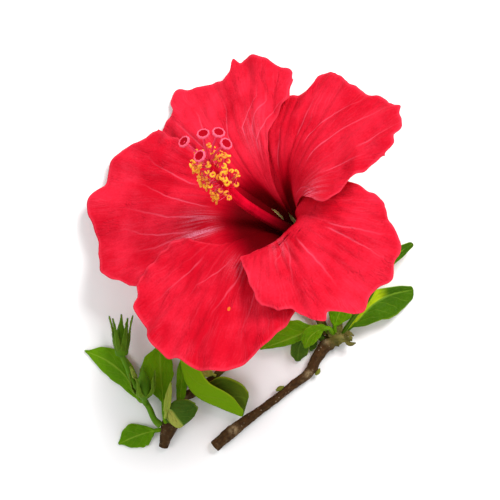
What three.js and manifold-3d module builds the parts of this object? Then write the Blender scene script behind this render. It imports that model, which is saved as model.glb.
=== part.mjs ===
// A cut sprig of common hibiscus with one open flower, lying down on a flat surface.
// Millimetres, +Z up. The surface is z = 0 and the origin is under the middle of the sprig.
import * as THREE from 'three';
import { mergeVertices } from 'three/addons/utils/BufferGeometryUtils.js';
import Module from 'manifold-3d';

const wasm = await Module();
wasm.setup();

// ---- Driving sizes -------------------------------------------------------------------------

const middleShift = [0, 1.6, 0];          // puts the origin under the middle of the whole sprig

// The flower leans on the surface. Its own frame has its origin where the petals are attached,
// and its z axis runs up the staminal column.
const flowerBase = [18.2, 4.8, 15.8];
const flowerLean = 45;                    // degrees from upright
const flowerHeading = 140;                // compass side the flower leans to, degrees from +X

// The petals spread as a funnel, described by the angle between the petal and the flower axis.
const clawRadius = 3.2;                   // ring on which the petal claws stand
const throatSlope = 14;                   // degrees, narrow part of the funnel
const limbSlope = 86;                     // degrees, the spread limb
const limbSlopeSwing = -10;               // less spread on the side that rests on the surface
const limbSwingHeading = 145;
const flareLength = 50;                   // petal length over which the funnel opens

const petalThickness = 0.7;
const petalStart = 0.6;                   // the claws stop short of the receptacle
const layerStep = 1.8;                    // each petal rises from its covered to its covering edge
const layerEase = 22;                     // petal length over which that rise comes in
const petalAcross = 18;                   // lattice cells across a petal
const petalAlong = 9;                     // lattice cells along a petal

const columnSides = 10;
const columnBaseRadius = 2.1;
const columnTipRadius = 1.15;
const columnHeight = 56;
const styleRing = 0.75;                   // the styles leave the column's tip on this radius
const stamenCount = 22;
const stamenStart = 36;                   // height on the column of the lowest stamens
const stamenEnd = 55;
const stamenReach = 5.6;
const stigmaRadius = 2.0;

const calyxWall = 0.8;
const calyxCupLength = 9;                 // petal length up to which the calyx is one cup
const calyxLobeLength = 10;
const calyxLobes = 5;
const calyxLobeHeading = 64;              // the lobes point up between the petals' middles
const calyxDepth = 6;                     // underside of the calyx, below the petal claws
const receptacleDepth = 1.6;              // floor of the cup, below the petal claws
const calyxFootShare = 0.35;              // lower part of the calyx that narrows to the pedicel
const calyxFootOutside = 0.65;            // how far it narrows, outside and inside
const calyxFootInside = 0.85;

const gap = 0.35;                         // clear space kept between neighbouring pieces
const bractCount = 7;
const calyxBractReach = [[4.3, -5.4], [6.9, -2.4], [9.6, 2.6], [11.2, 8.4]];

const leafThickness = 0.7;
const petioleRadius = 0.8;

// ---- Materials -----------------------------------------------------------------------------

function finish(color, roughness) {
  return new THREE.MeshStandardMaterial({ color, roughness, metalness: 0 });
}

const petalRed = finish(0xd8142c, 0.6);
const columnRed = finish(0xb30f2e, 0.5);
const stigmaCrimson = finish(0xa80f35, 0.7);
const calyxGreen = finish(0x5d8a2a, 0.6);
const stemGreen = finish(0x4f7f24, 0.6);
const leafGreen = finish(0x3f7d1c, 0.45);
const barkBrown = finish(0x4a352a, 0.85);

// ---- Small helpers -------------------------------------------------------------------------

const radians = THREE.MathUtils.degToRad;
const { lerp, clamp } = THREE.MathUtils;

function ease(value, from, to) {
  const t = clamp((value - from) / (to - from), 0, 1);
  return t * t * (3 - 2 * t);
}

// Reads a smooth curve through a short list of [x, y] points, held level past both ends.
function readCurve(points, x) {
  const last = points.length - 1;
  if (x <= points[0][0]) return points[0][1];
  if (x >= points[last][0]) return points[last][1];
  let i = 0;
  while (x > points[i + 1][0]) i += 1;
  const slope = (k) => {
    if (k <= 0 || k >= last) return 0;
    return (points[k + 1][1] - points[k - 1][1]) / (points[k + 1][0] - points[k - 1][0]);
  };
  const width = points[i + 1][0] - points[i][0];
  const t = (x - points[i][0]) / width;
  const start = points[i][1] * (1 + 2 * t) * (1 - t) ** 2 + slope(i) * width * t * (1 - t) ** 2;
  return start + points[i + 1][1] * (3 - 2 * t) * t * t + slope(i + 1) * width * (t - 1) * t * t;
}

// Reads a list of values spread evenly over 0 to 1.
function readEven(values, t) {
  const last = values.length - 1;
  return readCurve(values.map((value, i) => [i / last, value]), t);
}

// Merges shared corners and turns the faces outwards.
function closeUp(geometry) {
  geometry.deleteAttribute('normal');
  geometry.deleteAttribute('uv');
  const merged = mergeVertices(geometry, 1e-4);
  const position = merged.attributes.position;
  const index = merged.index;
  const [a, b, c] = [new THREE.Vector3(), new THREE.Vector3(), new THREE.Vector3()];
  let volume = 0;
  for (let i = 0; i < index.count; i += 3) {
    a.fromBufferAttribute(position, index.getX(i));
    b.fromBufferAttribute(position, index.getX(i + 1));
    c.fromBufferAttribute(position, index.getX(i + 2));
    volume += a.dot(b.cross(c));
  }
  if (volume < 0) {
    for (let i = 0; i < index.count; i += 3) {
      const kept = index.getX(i + 1);
      index.setX(i + 1, index.getX(i + 2));
      index.setX(i + 2, kept);
    }
  }
  merged.computeVertexNormals();
  return merged;
}

// A thin closed plate: place(across -1..1, along 0..1, side -1 or 1) gives each corner's position.
function plate(across, along, place) {
  const geometry = new THREE.BoxGeometry(2, 1, 2, across, along, 1);
  const position = geometry.attributes.position;
  for (let i = 0; i < position.count; i += 1) {
    const point = place(position.getX(i), position.getY(i) + 0.5, position.getZ(i));
    position.setXYZ(i, point.x, point.y, point.z);
  }
  return closeUp(geometry);
}

// A round stem along a smooth line. The radii are spread evenly over the line.
function stem(points, radii, sides, steps) {
  const line = new THREE.CatmullRomCurve3(points.map((p) => new THREE.Vector3(...p)));
  const frames = line.computeFrenetFrames(steps, false);
  const geometry = new THREE.CylinderGeometry(1, 1, 1, sides, steps);
  const position = geometry.attributes.position;
  for (let i = 0; i < position.count; i += 1) {
    const share = position.getY(i) + 0.5;
    const step = Math.round(share * steps);
    const radius = readEven(radii, line.getUtoTmapping(share));
    const point = line.getPointAt(share);
    point.addScaledVector(frames.normals[step], position.getX(i) * radius);
    point.addScaledVector(frames.binormals[step], position.getZ(i) * radius);
    position.setXYZ(i, point.x, point.y, point.z);
  }
  return closeUp(geometry);
}

function toSolid(geometry) {
  return new wasm.Manifold(new wasm.Mesh({
    numProp: 3,
    vertProperties: new Float32Array(geometry.attributes.position.array),
    triVerts: new Uint32Array(geometry.index.array),
  }));
}

function fromSolid(solid) {
  const mesh = solid.getMesh();
  const geometry = new THREE.BufferGeometry();
  geometry.setAttribute('position', new THREE.BufferAttribute(mesh.vertProperties, 3));
  geometry.setIndex(new THREE.BufferAttribute(mesh.triVerts, 1));
  geometry.computeVertexNormals();
  return geometry;
}

function joined(geometries) {
  return fromSolid(geometries.map(toSolid).reduce((whole, piece) => whole.add(piece)));
}

function addPiece(group, name, geometry, material) {
  const mesh = new THREE.Mesh(geometry, material);
  mesh.name = name;
  group.add(mesh);
}

// ---- Petals --------------------------------------------------------------------------------

// Each petal is drawn on the open funnel by its turn round the flower axis, in degrees from its
// own middle, and by its length from the claw in millimetres. cwEdge and ccwEdge give
// [length, turn] down both sides, rim gives [turn, length] along the outer margin, and cwLift
// raises the shoulder that covers the next petal.
const petals = [
  {
    name: 'petal_top', heading: 100, cwLift: 0.5,
    cwEdge: [[0, -27], [8, -27], [20, -20], [35, -19], [41, -23], [48, -30], [58, -31]],
    ccwEdge: [[0, 27], [8, 28], [16, 38], [30, 46], [54, 46]],
    rim: [[-31, 59], [-28, 62], [-24, 63.5], [-19, 67], [-14, 70], [-9, 70], [-7, 69.5], [-5, 72.5],
      [-2, 68], [2, 67], [8, 69], [13, 71], [18, 75], [22, 73.5], [25, 69], [35, 67], [46, 55]],
  },
  {
    name: 'petal_upper_right', heading: 28, cwLift: 3.5,
    cwEdge: [[0, -27], [8, -28], [15, -30], [25, -37], [32, -47], [40, -54], [44, -50], [48, -40],
      [54, -35], [60, -32]],
    ccwEdge: [[0, 27], [8, 28], [14, 40], [24, 52], [46, 54]],
    rim: [[-32, 60], [-28, 64], [-24, 65], [-21, 68], [-16, 68], [-13, 69], [-9, 67], [-1, 65],
      [6, 62], [19, 62.5], [25, 62.5], [29, 59], [32, 54], [40, 52], [54, 46]],
  },
  {
    name: 'petal_lower_right', heading: -44, cwLift: 2,
    cwEdge: [[0, -27], [8, -27], [20, -19], [27, -16], [31, -26], [36, -53], [40, -56], [45, -49],
      [52, -45], [56, -43]],
    ccwEdge: [[0, 27], [8, 28], [16, 40], [26, 46], [42, 44]],
    rim: [[-43, 56], [-36, 59], [-31, 60], [-28, 64], [-23, 71], [-20, 68], [-15, 74], [-12, 75],
      [-7, 72], [-1, 75], [3, 73], [10, 71], [15, 66], [19, 62], [25, 58], [33, 50], [44, 40]],
  },
  {
    name: 'petal_bottom', heading: -116, cwLift: 1,
    cwEdge: [[0, -27], [8, -26], [20, -16], [28, -13], [33, -20], [38, -33], [42, -43], [46, -45],
      [56, -40], [64, -35]],
    ccwEdge: [[0, 27], [8, 28], [14, 42], [22, 52], [36, 52], [50, 47], [58, 45]],
    rim: [[-35, 64], [-31, 66], [-28, 69.5], [-21, 70.5], [-17, 73], [-8, 75], [-3, 74], [6, 76],
      [15, 74], [20, 71.5], [25, 68], [29, 65], [36, 62], [45, 57]],
  },
  {
    name: 'petal_left', heading: 172, cwLift: 0.5,
    cwEdge: [[0, -27], [8, -28], [18, -33], [36, -34], [50, -40], [58, -40], [65, -37]],
    ccwEdge: [[0, 27], [8, 28], [16, 38], [28, 46], [45, 46], [58, 42]],
    rim: [[-37, 65], [-33, 67.5], [-28, 72], [-25, 75.5], [-18, 77.5], [-12, 77], [-8, 79.5],
      [-4, 81], [3, 78], [8, 77], [17, 76], [20, 76], [28, 69], [33, 64.5], [42, 57]],
  },
];

// Radius and height of the funnel at a petal length, with its slope there.
function funnelProfile(length, turn) {
  const limb = limbSlope + limbSlopeSwing * Math.cos(turn - radians(limbSwingHeading));
  const slopeAt = (s) => radians(throatSlope + (limb - throatSlope) * ease(s, 0, flareLength));
  const steps = 24;
  let radius = clawRadius;
  let height = 0;
  for (let i = 0; i < steps; i += 1) {
    const slope = slopeAt(length * (i + 0.5) / steps);
    radius += Math.sin(slope) * length / steps;
    height += Math.cos(slope) * length / steps;
  }
  return { radius, height, slope: slopeAt(length) };
}

// A point of the funnel, raised off it towards the flower axis by lift.
function funnelPoint(length, turn, lift) {
  const { radius, height, slope } = funnelProfile(length, turn);
  const out = radius - lift * Math.cos(slope);
  const up = height + lift * Math.sin(slope);
  return new THREE.Vector3(out * Math.cos(turn), out * Math.sin(turn), up);
}

function ripple(length, turn) {
  const waves = 0.8 * Math.sin(9 * turn + 0.6) + 0.5 * Math.sin(17 * turn + 2.1);
  return waves * ease(length, 35, 75);
}

function petalGeometry(petal) {
  const cwTurn = petal.cwEdge.at(-1)[1];
  const ccwTurn = petal.ccwEdge.at(-1)[1];
  return plate(petalAcross, petalAlong, (across, along, side) => {
    const share = (across + 1) / 2;
    const reach = readCurve(petal.rim, lerp(cwTurn, ccwTurn, share));
    const length = lerp(petalStart, reach, along);
    const offset = lerp(readCurve(petal.cwEdge, length), readCurve(petal.ccwEdge, length), share);
    const turn = radians(petal.heading + offset);
    const layer = -layerStep * Math.sin(across * Math.PI / 2) * ease(length, 0, layerEase);
    const shoulder = petal.cwLift * ease(-across, 0.2, 1) * ease(length, 20, 38);
    const lift = layer + shoulder + ripple(length, turn) + side * petalThickness / 2;
    return funnelPoint(length, turn, lift);
  });
}

// ---- Staminal column and styles ------------------------------------------------------------

// The column's middle line in the flower frame: it sags to one side and straightens at its tip.
const columnLine = [[0, 0, -0.4], [-1.3, 0.1, 6], [-3.2, -0.1, 13], [-4.2, -1.2, 24],
  [-4.6, -1.7, 34], [-4.2, -1, 44], [-2, -0.4, columnHeight]];

function columnPoint(height) {
  const x = columnLine.map((p) => [p[2], p[0]]);
  const y = columnLine.map((p) => [p[2], p[1]]);
  return new THREE.Vector3(readCurve(x, height), readCurve(y, height), height);
}

// One stamen: a thin stalk out of the column with a swollen anther at its end.
function stamenPieces(i) {
  const share = (i + 0.5) / stamenCount;
  const turn = i * 2.4;
  const root = columnPoint(lerp(stamenStart, stamenEnd, share));
  const out = new THREE.Vector3(Math.cos(turn), Math.sin(turn), 0.25 + 0.5 * share);
  const tip = root.clone().addScaledVector(out, stamenReach * (1 - 0.25 * share));
  const stalk = stem([root.toArray(), tip.toArray()], [0.45, 0.3], 4, 1);
  const anther = new THREE.IcosahedronGeometry(1.05, 0);
  anther.translate(tip.x, tip.y, tip.z);
  return [stalk, closeUp(anther)];
}

function columnGeometry() {
  const radii = [columnBaseRadius, 1.9, 1.8, 1.7, 1.45, columnTipRadius];
  const pieces = [stem(columnLine, radii, columnSides, 14)];
  for (let i = 0; i < stamenCount; i += 1) pieces.push(...stamenPieces(i));
  return joined(pieces);
}

// The five style arms, each from the column's tip to its stigma head, in the flower frame.
const stigmaPlaces = [[-7.3, 5.5, 62], [2.3, 2.8, 65], [8.2, 0.9, 65], [9.7, -2.9, 63],
  [1.9, -6.5, 66]];

function styleArmGeometry(place, i) {
  const turn = radians(150 - 72 * i);
  const head = new THREE.Vector3(...place);
  const root = columnPoint(columnHeight);
  root.add(new THREE.Vector3(styleRing * Math.cos(turn), styleRing * Math.sin(turn), gap));
  const middle = root.clone().lerp(head, 0.5);
  middle.z += 1;
  const arm = stem([root.toArray(), middle.toArray(), head.toArray()], [0.35, 0.32, 0.32], 5, 4);
  const stigma = new THREE.SphereGeometry(stigmaRadius, 8, 5);
  stigma.scale(1, 1, 0.6);
  stigma.translate(head.x, head.y, head.z);
  return joined([arm, closeUp(stigma)]);
}

// ---- Calyx and its outer bracts ------------------------------------------------------------

function calyxLift(length) {
  return -(petalThickness / 2 + gap + layerStep * ease(length, 0, layerEase));
}

function calyxLobe(turn) {
  return Math.abs(Math.cos(calyxLobes * (turn - radians(calyxLobeHeading)) / 2)) ** 1.6;
}

// Rings run from the middle of the underside, up the outside, over the rim and down the inside.
function calyxCorner(ring, rings, turn) {
  const inside = ring > rings + 1;
  if (ring === 0) return new THREE.Vector3(0, 0, -calyxDepth);
  if (ring === 2 * rings + 3) return new THREE.Vector3(0, 0, -receptacleDepth);
  const share = inside ? (2 * rings + 2 - ring) / rings : (ring - 1) / rings;
  const length = share * (calyxCupLength + calyxLobeLength * calyxLobe(turn));
  const point = funnelPoint(length, turn, calyxLift(length) - (inside ? 0 : calyxWall));
  const foot = 1 - ease(share, 0, calyxFootShare);
  const narrow = lerp(1, inside ? calyxFootInside : calyxFootOutside, foot);
  const drop = foot * (inside ? receptacleDepth : calyxDepth);
  return new THREE.Vector3(point.x * narrow, point.y * narrow, point.z - drop);
}

function calyxGeometry() {
  const rings = 6;
  const profile = [new THREE.Vector2(0, 0)];
  for (let i = 1; i <= 2 * rings + 2; i += 1) profile.push(new THREE.Vector2(1, i));
  profile.push(new THREE.Vector2(0, 2 * rings + 3));
  const geometry = new THREE.LatheGeometry(profile, 30);
  const position = geometry.attributes.position;
  for (let i = 0; i < position.count; i += 1) {
    const ring = Math.round(position.getY(i));
    const turn = Math.atan2(position.getZ(i), position.getX(i));
    position.setXYZ(i, ...calyxCorner(ring, rings, turn).toArray());
  }
  return closeUp(geometry);
}

// ---- Leaves and bracts ---------------------------------------------------------------------

// A leaf is a plate along its midrib. rib runs from the foot of the leaf stalk to the tip and
// bladeFrom says where the blade begins on it. left and right are the half widths of the blade
// in even steps, as seen from above with the tip ahead, and leftFold and rightFold turn each
// half up about the midrib in degrees. roll turns the whole blade about its midrib.
function leafGeometry(leaf, across = 4, along = leaf.along ?? 7) {
  const line = new THREE.CatmullRomCurve3(leaf.rib.map((p) => new THREE.Vector3(...p)));
  const from = leaf.bladeFrom ?? 0.15;
  const thin = leaf.thickness ?? leafThickness;
  const stalk = leaf.stalk ?? petioleRadius;
  const up = new THREE.Vector3(...(leaf.up ?? [0, 0, 1]));
  return plate(across, along, (x, y, side) => {
    const ahead = line.getTangentAt(y);
    const level = new THREE.Vector3().crossVectors(ahead, up).normalize();
    level.applyAxisAngle(ahead, radians(leaf.roll ?? 0));
    const over = new THREE.Vector3().crossVectors(level, ahead);
    const blade = clamp((y - from) / (1 - from), 0, 1);
    const widths = x < 0 ? leaf.left : leaf.right;
    const half = y <= from ? stalk : Math.max(readEven(widths, blade), 0.3);
    const fold = radians(x < 0 ? leaf.leftFold ?? 12 : leaf.rightFold ?? 12) * ease(blade, 0, 0.15);
    const out = level.clone().multiplyScalar(Math.cos(fold) * Math.sign(x || 1));
    out.addScaledVector(over, Math.sin(fold));
    const face = over.clone().multiplyScalar(Math.cos(fold));
    face.addScaledVector(level, -Math.sin(fold) * Math.sign(x || 1));
    if (Math.abs(x) < 1e-6) face.copy(over);
    const depth = lerp(stalk, thin / 2, ease(blade, 0, 0.12));
    const point = line.getPointAt(y).addScaledVector(out, Math.abs(x) * half);
    return point.addScaledVector(face, side * depth);
  });
}

// The sprig's stems, with their centre lines from the cut end or the foot outwards.
const stems = [
  {
    name: 'main_twig', material: barkBrown, sides: 10, steps: 24,
    line: [[-12.9, -71.4, 2.2], [-5.8, -65.3, 2.7], [2.2, -59.5, 2.5], [8, -55.2, 2.3], [15.5, -49.3, 2.5],
      [21.4, -44.5, 2.9], [24.6, -38.7, 3.5], [27.8, -34.4, 4], [31.5, -31.7, 4.4], [37, -32.2, 4.2]],
    radii: [2.1, 2.2, 1.6, 1.5, 1.5, 1.8, 2.1, 2.3, 2.7, 2.1],
  },
  {
    name: 'pedicel', material: stemGreen, sides: 8, steps: 14,
    line: [[21.7, 1.9, 11.2], [24.6, -0.6, 7.6], [27.6, -4.4, 4.6], [30, -10.5, 2.8], [31.2, -17, 2.4],
      [31.6, -23, 3.4], [31.6, -28.2, 4.6]],
    radii: [1.9, 1.5, 1.4, 1.4, 1.6],
  },
  {
    name: 'side_branch', material: barkBrown, sides: 8, steps: 26,
    line: [[27.9, -30.2, 4.6], [23, -22.5, 3.6], [17, -19.5, 3], [9, -22.5, 2.6], [-1.8, -34.5, 2.2],
      [-10.5, -43.9, 2.4], [-19.2, -51.1, 2.7], [-24.3, -53.8, 3], [-27, -60, 3.4], [-29.4, -64.2, 3.6],
      [-31.5, -71.6, 1.7]],
    radii: [1.6, 1.4, 1.3, 1.25, 1.2, 1.2, 1.6, 1.7, 1.7, 2.1, 1.6],
  },
  {
    name: 'left_shoot', material: stemGreen, sides: 8, steps: 12,
    line: [[-32.4, -63.5, 4.5], [-34.6, -61.4, 4.8], [-36.4, -57.3, 5.3], [-38.5, -53.9, 5.8],
      [-42.6, -46.4, 6.8], [-44.6, -41.3, 7.6], [-46, -38, 8.4]],
    radii: [1.3, 1.1, 1.05, 1, 1],
  },
  {
    name: 'twig_bud_lower', material: stemGreen, sides: 6, steps: 3,
    line: [[9.6, -51.1, 2.7], [11, -50.2, 2.9], [12.3, -49.6, 3.1]], radii: [0.5, 0.8, 0.7, 0.3],
  },
  {
    name: 'twig_bud_upper', material: stemGreen, sides: 6, steps: 3,
    line: [[23.9, -45.3, 2.8], [24.8, -44.2, 3], [25.3, -43.1, 3.2]], radii: [0.5, 0.8, 0.7, 0.3],
  },
];

// The two closed flower buds, each a body with narrow outer bracts round it.
const buds = [
  {
    name: 'bud_upper', bracts: 5, firstTurn: 20, bractReach: [[2, 0.6], [3.5, 4], [3.9, 9], [4.3, 13.4]],
    line: [[-46.1, -37.2, 8.8], [-46.3, -31, 9.6], [-46.3, -24.5, 10.5]],
    radii: [1, 2.2, 2.5, 2.4, 1.8, 0.9, 0.3],
  },
  {
    name: 'bud_lower', bracts: 5, firstTurn: 33, bractReach: [[2.4, 0.3], [4.3, 3], [4.7, 6.4], [4.9, 9.6]],
    line: [[-37.7, -55, 7.6], [-37.9, -53, 9.7], [-38, -48, 12], [-38.2, -42, 13.4]],
    radii: [0.9, 0.9, 1, 2.4, 3, 2.6, 1.4, 0.3],
  },
];

const leaves = [
  {
    name: 'leaf_far_left', leftFold: -8, rightFold: 4,
    rib: [[-39.9, -54.6, 3.2], [-45.5, -45.6, 2.6], [-52.2, -40.2, 2.2], [-60.4, -36.7, 0.7]],
    left: [1, 3.6, 3.8, 2.6, 0.4], right: [1, 3.4, 5.2, 4.2, 0.4],
  },
  {
    name: 'leaf_left_broad', leftFold: 8, rightFold: 8,
    rib: [[-30.7, -61.4, 6.1], [-31.4, -53, 5.6], [-32.3, -44, 4.6], [-32.8, -34, 2.8]],
    left: [0.9, 5, 7.4, 6, 1], right: [0.9, 3, 4.4, 4, 1], bladeFrom: 0.22,
  },
  {
    name: 'leaf_left_inner', leftFold: 5, rightFold: 5,
    rib: [[-27.4, -61, 6.8], [-25.6, -56, 6.5], [-24.8, -49.5, 5.2], [-24.4, -38, 2.4]],
    left: [0.8, 1.6, 2, 1.8, 0.5], right: [0.8, 1.6, 2, 1.8, 0.5],
  },
  {
    name: 'leaf_folded_long', leftFold: 4, rightFold: 140, bladeFrom: 0.47, along: 16,
    rib: [[-30.7, -61.7, 1.9], [-31.4, -48, 1.3], [-29.6, -37, 1.6], [-26.4, -33.6, 4], [-25, -38.5, 6.4],
      [-22.6, -47.8, 7], [-18.8, -52.6, 7], [-10.4, -56.8, 6.2], [-2.6, -60.2, 4.6]],
    left: [1, 5, 9, 12.5, 11.5, 4], right: [1, 7, 7.2, 6.6, 5, 1.5],
  },
  {
    name: 'leaf_small_round', leftFold: 8, rightFold: 120, bladeFrom: 0.12,
    rib: [[-29.2, -60.6, 8.8], [-27.8, -62.5, 8.9], [-24.2, -63, 8.4], [-20.6, -59.4, 7.4]],
    left: [2, 5.6, 6.6, 5.6, 2.6], right: [1.4, 2.6, 2.8, 2, 0.6],
  },
  {
    name: 'leaf_low_left', leftFold: -4, rightFold: 6,
    rib: [[-33.8, -65.6, 2.4], [-38.9, -66.8, 2.2], [-43.4, -68.6, 1.6], [-48, -70.8, 0.7]],
    left: [1, 3.6, 4, 3, 0.4], right: [1, 3.2, 4.6, 3.8, 0.6],
  },
  {
    name: 'leaf_right', leftFold: 28, rightFold: 2, bladeFrom: 0.1,
    rib: [[35.6, -28.4, 6.6], [39.2, -25.1, 7.6], [44.2, -19.7, 7.6], [50.5, -16.2, 5.2],
      [59.6, -14.4, 0.6]],
    left: [1, 5.4, 6.2, 4.2, 2, 0.6], right: [1, 4, 6.8, 8, 7.8, 4.5],
  },
  {
    name: 'leaf_pointed', leftFold: -12, rightFold: 8,
    rib: [[25.6, -27.4, 8.4], [20, -29.5, 8.2], [13.6, -32.3, 7.4], [3.6, -36.1, 3]],
    left: [1, 2.2, 2.2, 1.4, 0.3], right: [1, 3.6, 4.4, 3, 0.4],
  },
  {
    name: 'leaf_hanging', leftFold: 10, rightFold: 10,
    rib: [[23.6, -30.4, 5.6], [19.9, -31.4, 5.2], [17.8, -35.4, 4], [17.4, -40.6, 1.4]],
    left: [1, 3, 3.6, 3.2, 1], right: [1, 2.6, 3, 2.6, 1],
  },
  {
    name: 'leaf_curled', leftFold: 20, rightFold: 20,
    rib: [[28, -28, 10.6], [24.4, -28.8, 11.6], [21.4, -31.2, 11.4], [19.6, -35.2, 10]],
    left: [1, 2.4, 2.8, 2.2, 0.5], right: [1, 2.6, 3.2, 2.6, 0.5],
  },
  {
    name: 'leaf_dark_small', leftFold: 5, rightFold: 5,
    rib: [[24.2, -31.2, 3.4], [23.2, -33.2, 2.6], [22.2, -36.8, 1.2]],
    left: [0.8, 1.4, 1.6, 1.2, 0.4], right: [0.8, 1.3, 1.4, 1.2, 0.4],
  },
  {
    name: 'leaf_behind_petal', leftFold: 14, rightFold: 14,
    rib: [[30.4, -27.6, 8.6], [31.8, -23, 10.6], [34, -18.4, 12], [37.5, -13.4, 12]],
    left: [1, 3.2, 3.8, 2.8, 0.4], right: [1, 3.2, 3.8, 2.8, 0.4],
  },
  {
    name: 'leaf_right_tip', leftFold: 14, rightFold: 14,
    rib: [[34.9, -27.6, 8.4], [41, -18, 13.8], [47, -8, 12.4], [53, -1.6, 8.6], [59, 2.4, 4.6]],
    left: [1, 3.4, 4, 2.6, 0.3], right: [1, 3.4, 4, 2.6, 0.3],
  },
  {
    name: 'small_sprout', leftFold: 20, rightFold: 20, thickness: 0.6, stalk: 0.5,
    rib: [[-12.6, -44.6, 3.8], [-16, -42.8, 4.2], [-20, -41.4, 4.2]],
    left: [0.7, 1.3, 1.4, 0.4], right: [0.7, 1.3, 1.4, 0.4],
  },
  {
    name: 'stipule_knot', leftFold: 30, rightFold: 30, thickness: 0.6, stalk: 0.6,
    rib: [[-30.5, -60.5, 8.2], [-29.8, -56, 9], [-28.4, -47.4, 9.6]],
    left: [1, 1.3, 1, 0.3], right: [1, 1.3, 1, 0.3],
  },
  {
    name: 'stipule_shoot', leftFold: 20, rightFold: 20, thickness: 0.5, stalk: 0.4,
    rib: [[-41, -46.8, 7.8], [-41.9, -44.6, 8.6], [-43, -41.8, 9.6]],
    left: [0.5, 0.8, 0.6, 0.3], right: [0.5, 0.8, 0.6, 0.3],
  },
];

// A narrow bract standing beside a bud or the calyx. foot is the middle of the bud's foot, axis
// its direction, and reach lists [outward, forward] distances along the bract.
function bractGeometry(foot, axis, turn, reach) {
  const out = new THREE.Vector3(1, 0, 0).addScaledVector(axis, -axis.x).normalize();
  out.applyAxisAngle(axis, turn);
  const rib = reach.map(([outward, forward]) => foot.clone()
    .addScaledVector(out, outward).addScaledVector(axis, forward).toArray());
  const widths = [0.8, 1.1, 1, 0.3];
  return leafGeometry({
    rib, up: out.toArray(), left: widths, right: widths, leftFold: -15, rightFold: -15,
    bladeFrom: 0.05, stalk: 0.4, thickness: 0.6,
  }, 2, 5);
}

// ---- Assembly ------------------------------------------------------------------------------

const sprig = new THREE.Group();
sprig.position.set(...middleShift);

const flower = new THREE.Group();
const lean = radians(flowerLean);
const heading = radians(flowerHeading);
const flowerAxis = new THREE.Vector3(Math.sin(lean) * Math.cos(heading),
  Math.sin(lean) * Math.sin(heading), Math.cos(lean));
const flowerX = new THREE.Vector3(1, 0, 0).addScaledVector(flowerAxis, -flowerAxis.x).normalize();
const flowerY = new THREE.Vector3().crossVectors(flowerAxis, flowerX);
flower.position.set(...flowerBase);
flower.quaternion.setFromRotationMatrix(new THREE.Matrix4().makeBasis(flowerX, flowerY, flowerAxis));
sprig.add(flower);

for (const petal of petals) addPiece(flower, petal.name, petalGeometry(petal), petalRed);
addPiece(flower, 'staminal_column', columnGeometry(), columnRed);
stigmaPlaces.forEach((place, i) => {
  addPiece(flower, `style_arm_${i + 1}`, styleArmGeometry(place, i), stigmaCrimson);
});
addPiece(flower, 'calyx', calyxGeometry(), calyxGreen);
for (let i = 0; i < bractCount; i += 1) {
  const turn = radians(i * 360 / bractCount);
  const bract = bractGeometry(new THREE.Vector3(), new THREE.Vector3(0, 0, 1), turn, calyxBractReach);
  addPiece(flower, `calyx_bract_${i + 1}`, bract, calyxGreen);
}

for (const { name, material, line, radii, sides, steps } of stems) {
  addPiece(sprig, name, stem(line, radii, sides, steps), material);
}
for (const bud of buds) {
  addPiece(sprig, bud.name, stem(bud.line, bud.radii, 8, 8), calyxGreen);
  const foot = new THREE.Vector3(...bud.line.at(-3));
  const axis = new THREE.Vector3(...bud.line.at(-1)).sub(foot).normalize();
  for (let i = 0; i < bud.bracts; i += 1) {
    const turn = radians(bud.firstTurn + i * 360 / bud.bracts);
    const bract = bractGeometry(foot, axis, turn, bud.bractReach);
    addPiece(sprig, `${bud.name}_bract_${i + 1}`, bract, calyxGreen);
  }
}
for (const leaf of leaves) addPiece(sprig, leaf.name, leafGeometry(leaf), leafGreen);

export default sprig;
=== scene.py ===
# The looks of a cut hibiscus sprig lying on a table: one open flower, closed buds, leaves, a twig.
# Shapes are worked out in millimetres and turned into metres when a mesh is made.
import math
import re

import bpy
import numpy as np
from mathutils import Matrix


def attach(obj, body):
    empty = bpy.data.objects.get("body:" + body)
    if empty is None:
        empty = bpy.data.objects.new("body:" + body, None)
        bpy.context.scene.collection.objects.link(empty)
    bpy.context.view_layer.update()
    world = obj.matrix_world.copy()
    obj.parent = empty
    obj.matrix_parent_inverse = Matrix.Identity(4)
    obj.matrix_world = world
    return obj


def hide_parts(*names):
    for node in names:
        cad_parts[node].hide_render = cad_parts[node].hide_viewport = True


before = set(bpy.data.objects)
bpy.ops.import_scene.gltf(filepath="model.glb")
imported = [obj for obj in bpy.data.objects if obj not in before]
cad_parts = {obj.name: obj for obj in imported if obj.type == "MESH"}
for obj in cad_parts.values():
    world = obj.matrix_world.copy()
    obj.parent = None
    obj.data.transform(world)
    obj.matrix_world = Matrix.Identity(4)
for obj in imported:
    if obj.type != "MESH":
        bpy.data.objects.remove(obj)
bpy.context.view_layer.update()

mm = 0.001
pi = math.pi
wholeShift = np.array([0.0, 1.6, 0.0])  # centres the whole sprig over the origin
arcPerDegree = 0.0125                   # mm across a petal for each degree and each mm of length


view = {
    "height": 530.0,       # camera above the table
    "lens": 104.4,         # on a 36 mm sensor
    "keyPower": 6.3,
    "keyPlace": (300.0, 420.0, 620.0),
    "keySize": 300.0,
    "fillPower": 1.0,
    "fillPlace": (-420.0, -60.0, 520.0),
    "skyStrength": 0.64,
}


def aimedLight(name, place, power, size):
    lamp = bpy.data.lights.new(name, "AREA")
    lamp.energy = power
    lamp.size = size * mm
    holder = bpy.data.objects.new(name, lamp)
    bpy.context.scene.collection.objects.link(holder)
    holder.location = [v * mm for v in place]
    toMiddle = -holder.location
    holder.rotation_euler = toMiddle.to_track_quat("-Z", "Y").to_euler()


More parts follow.
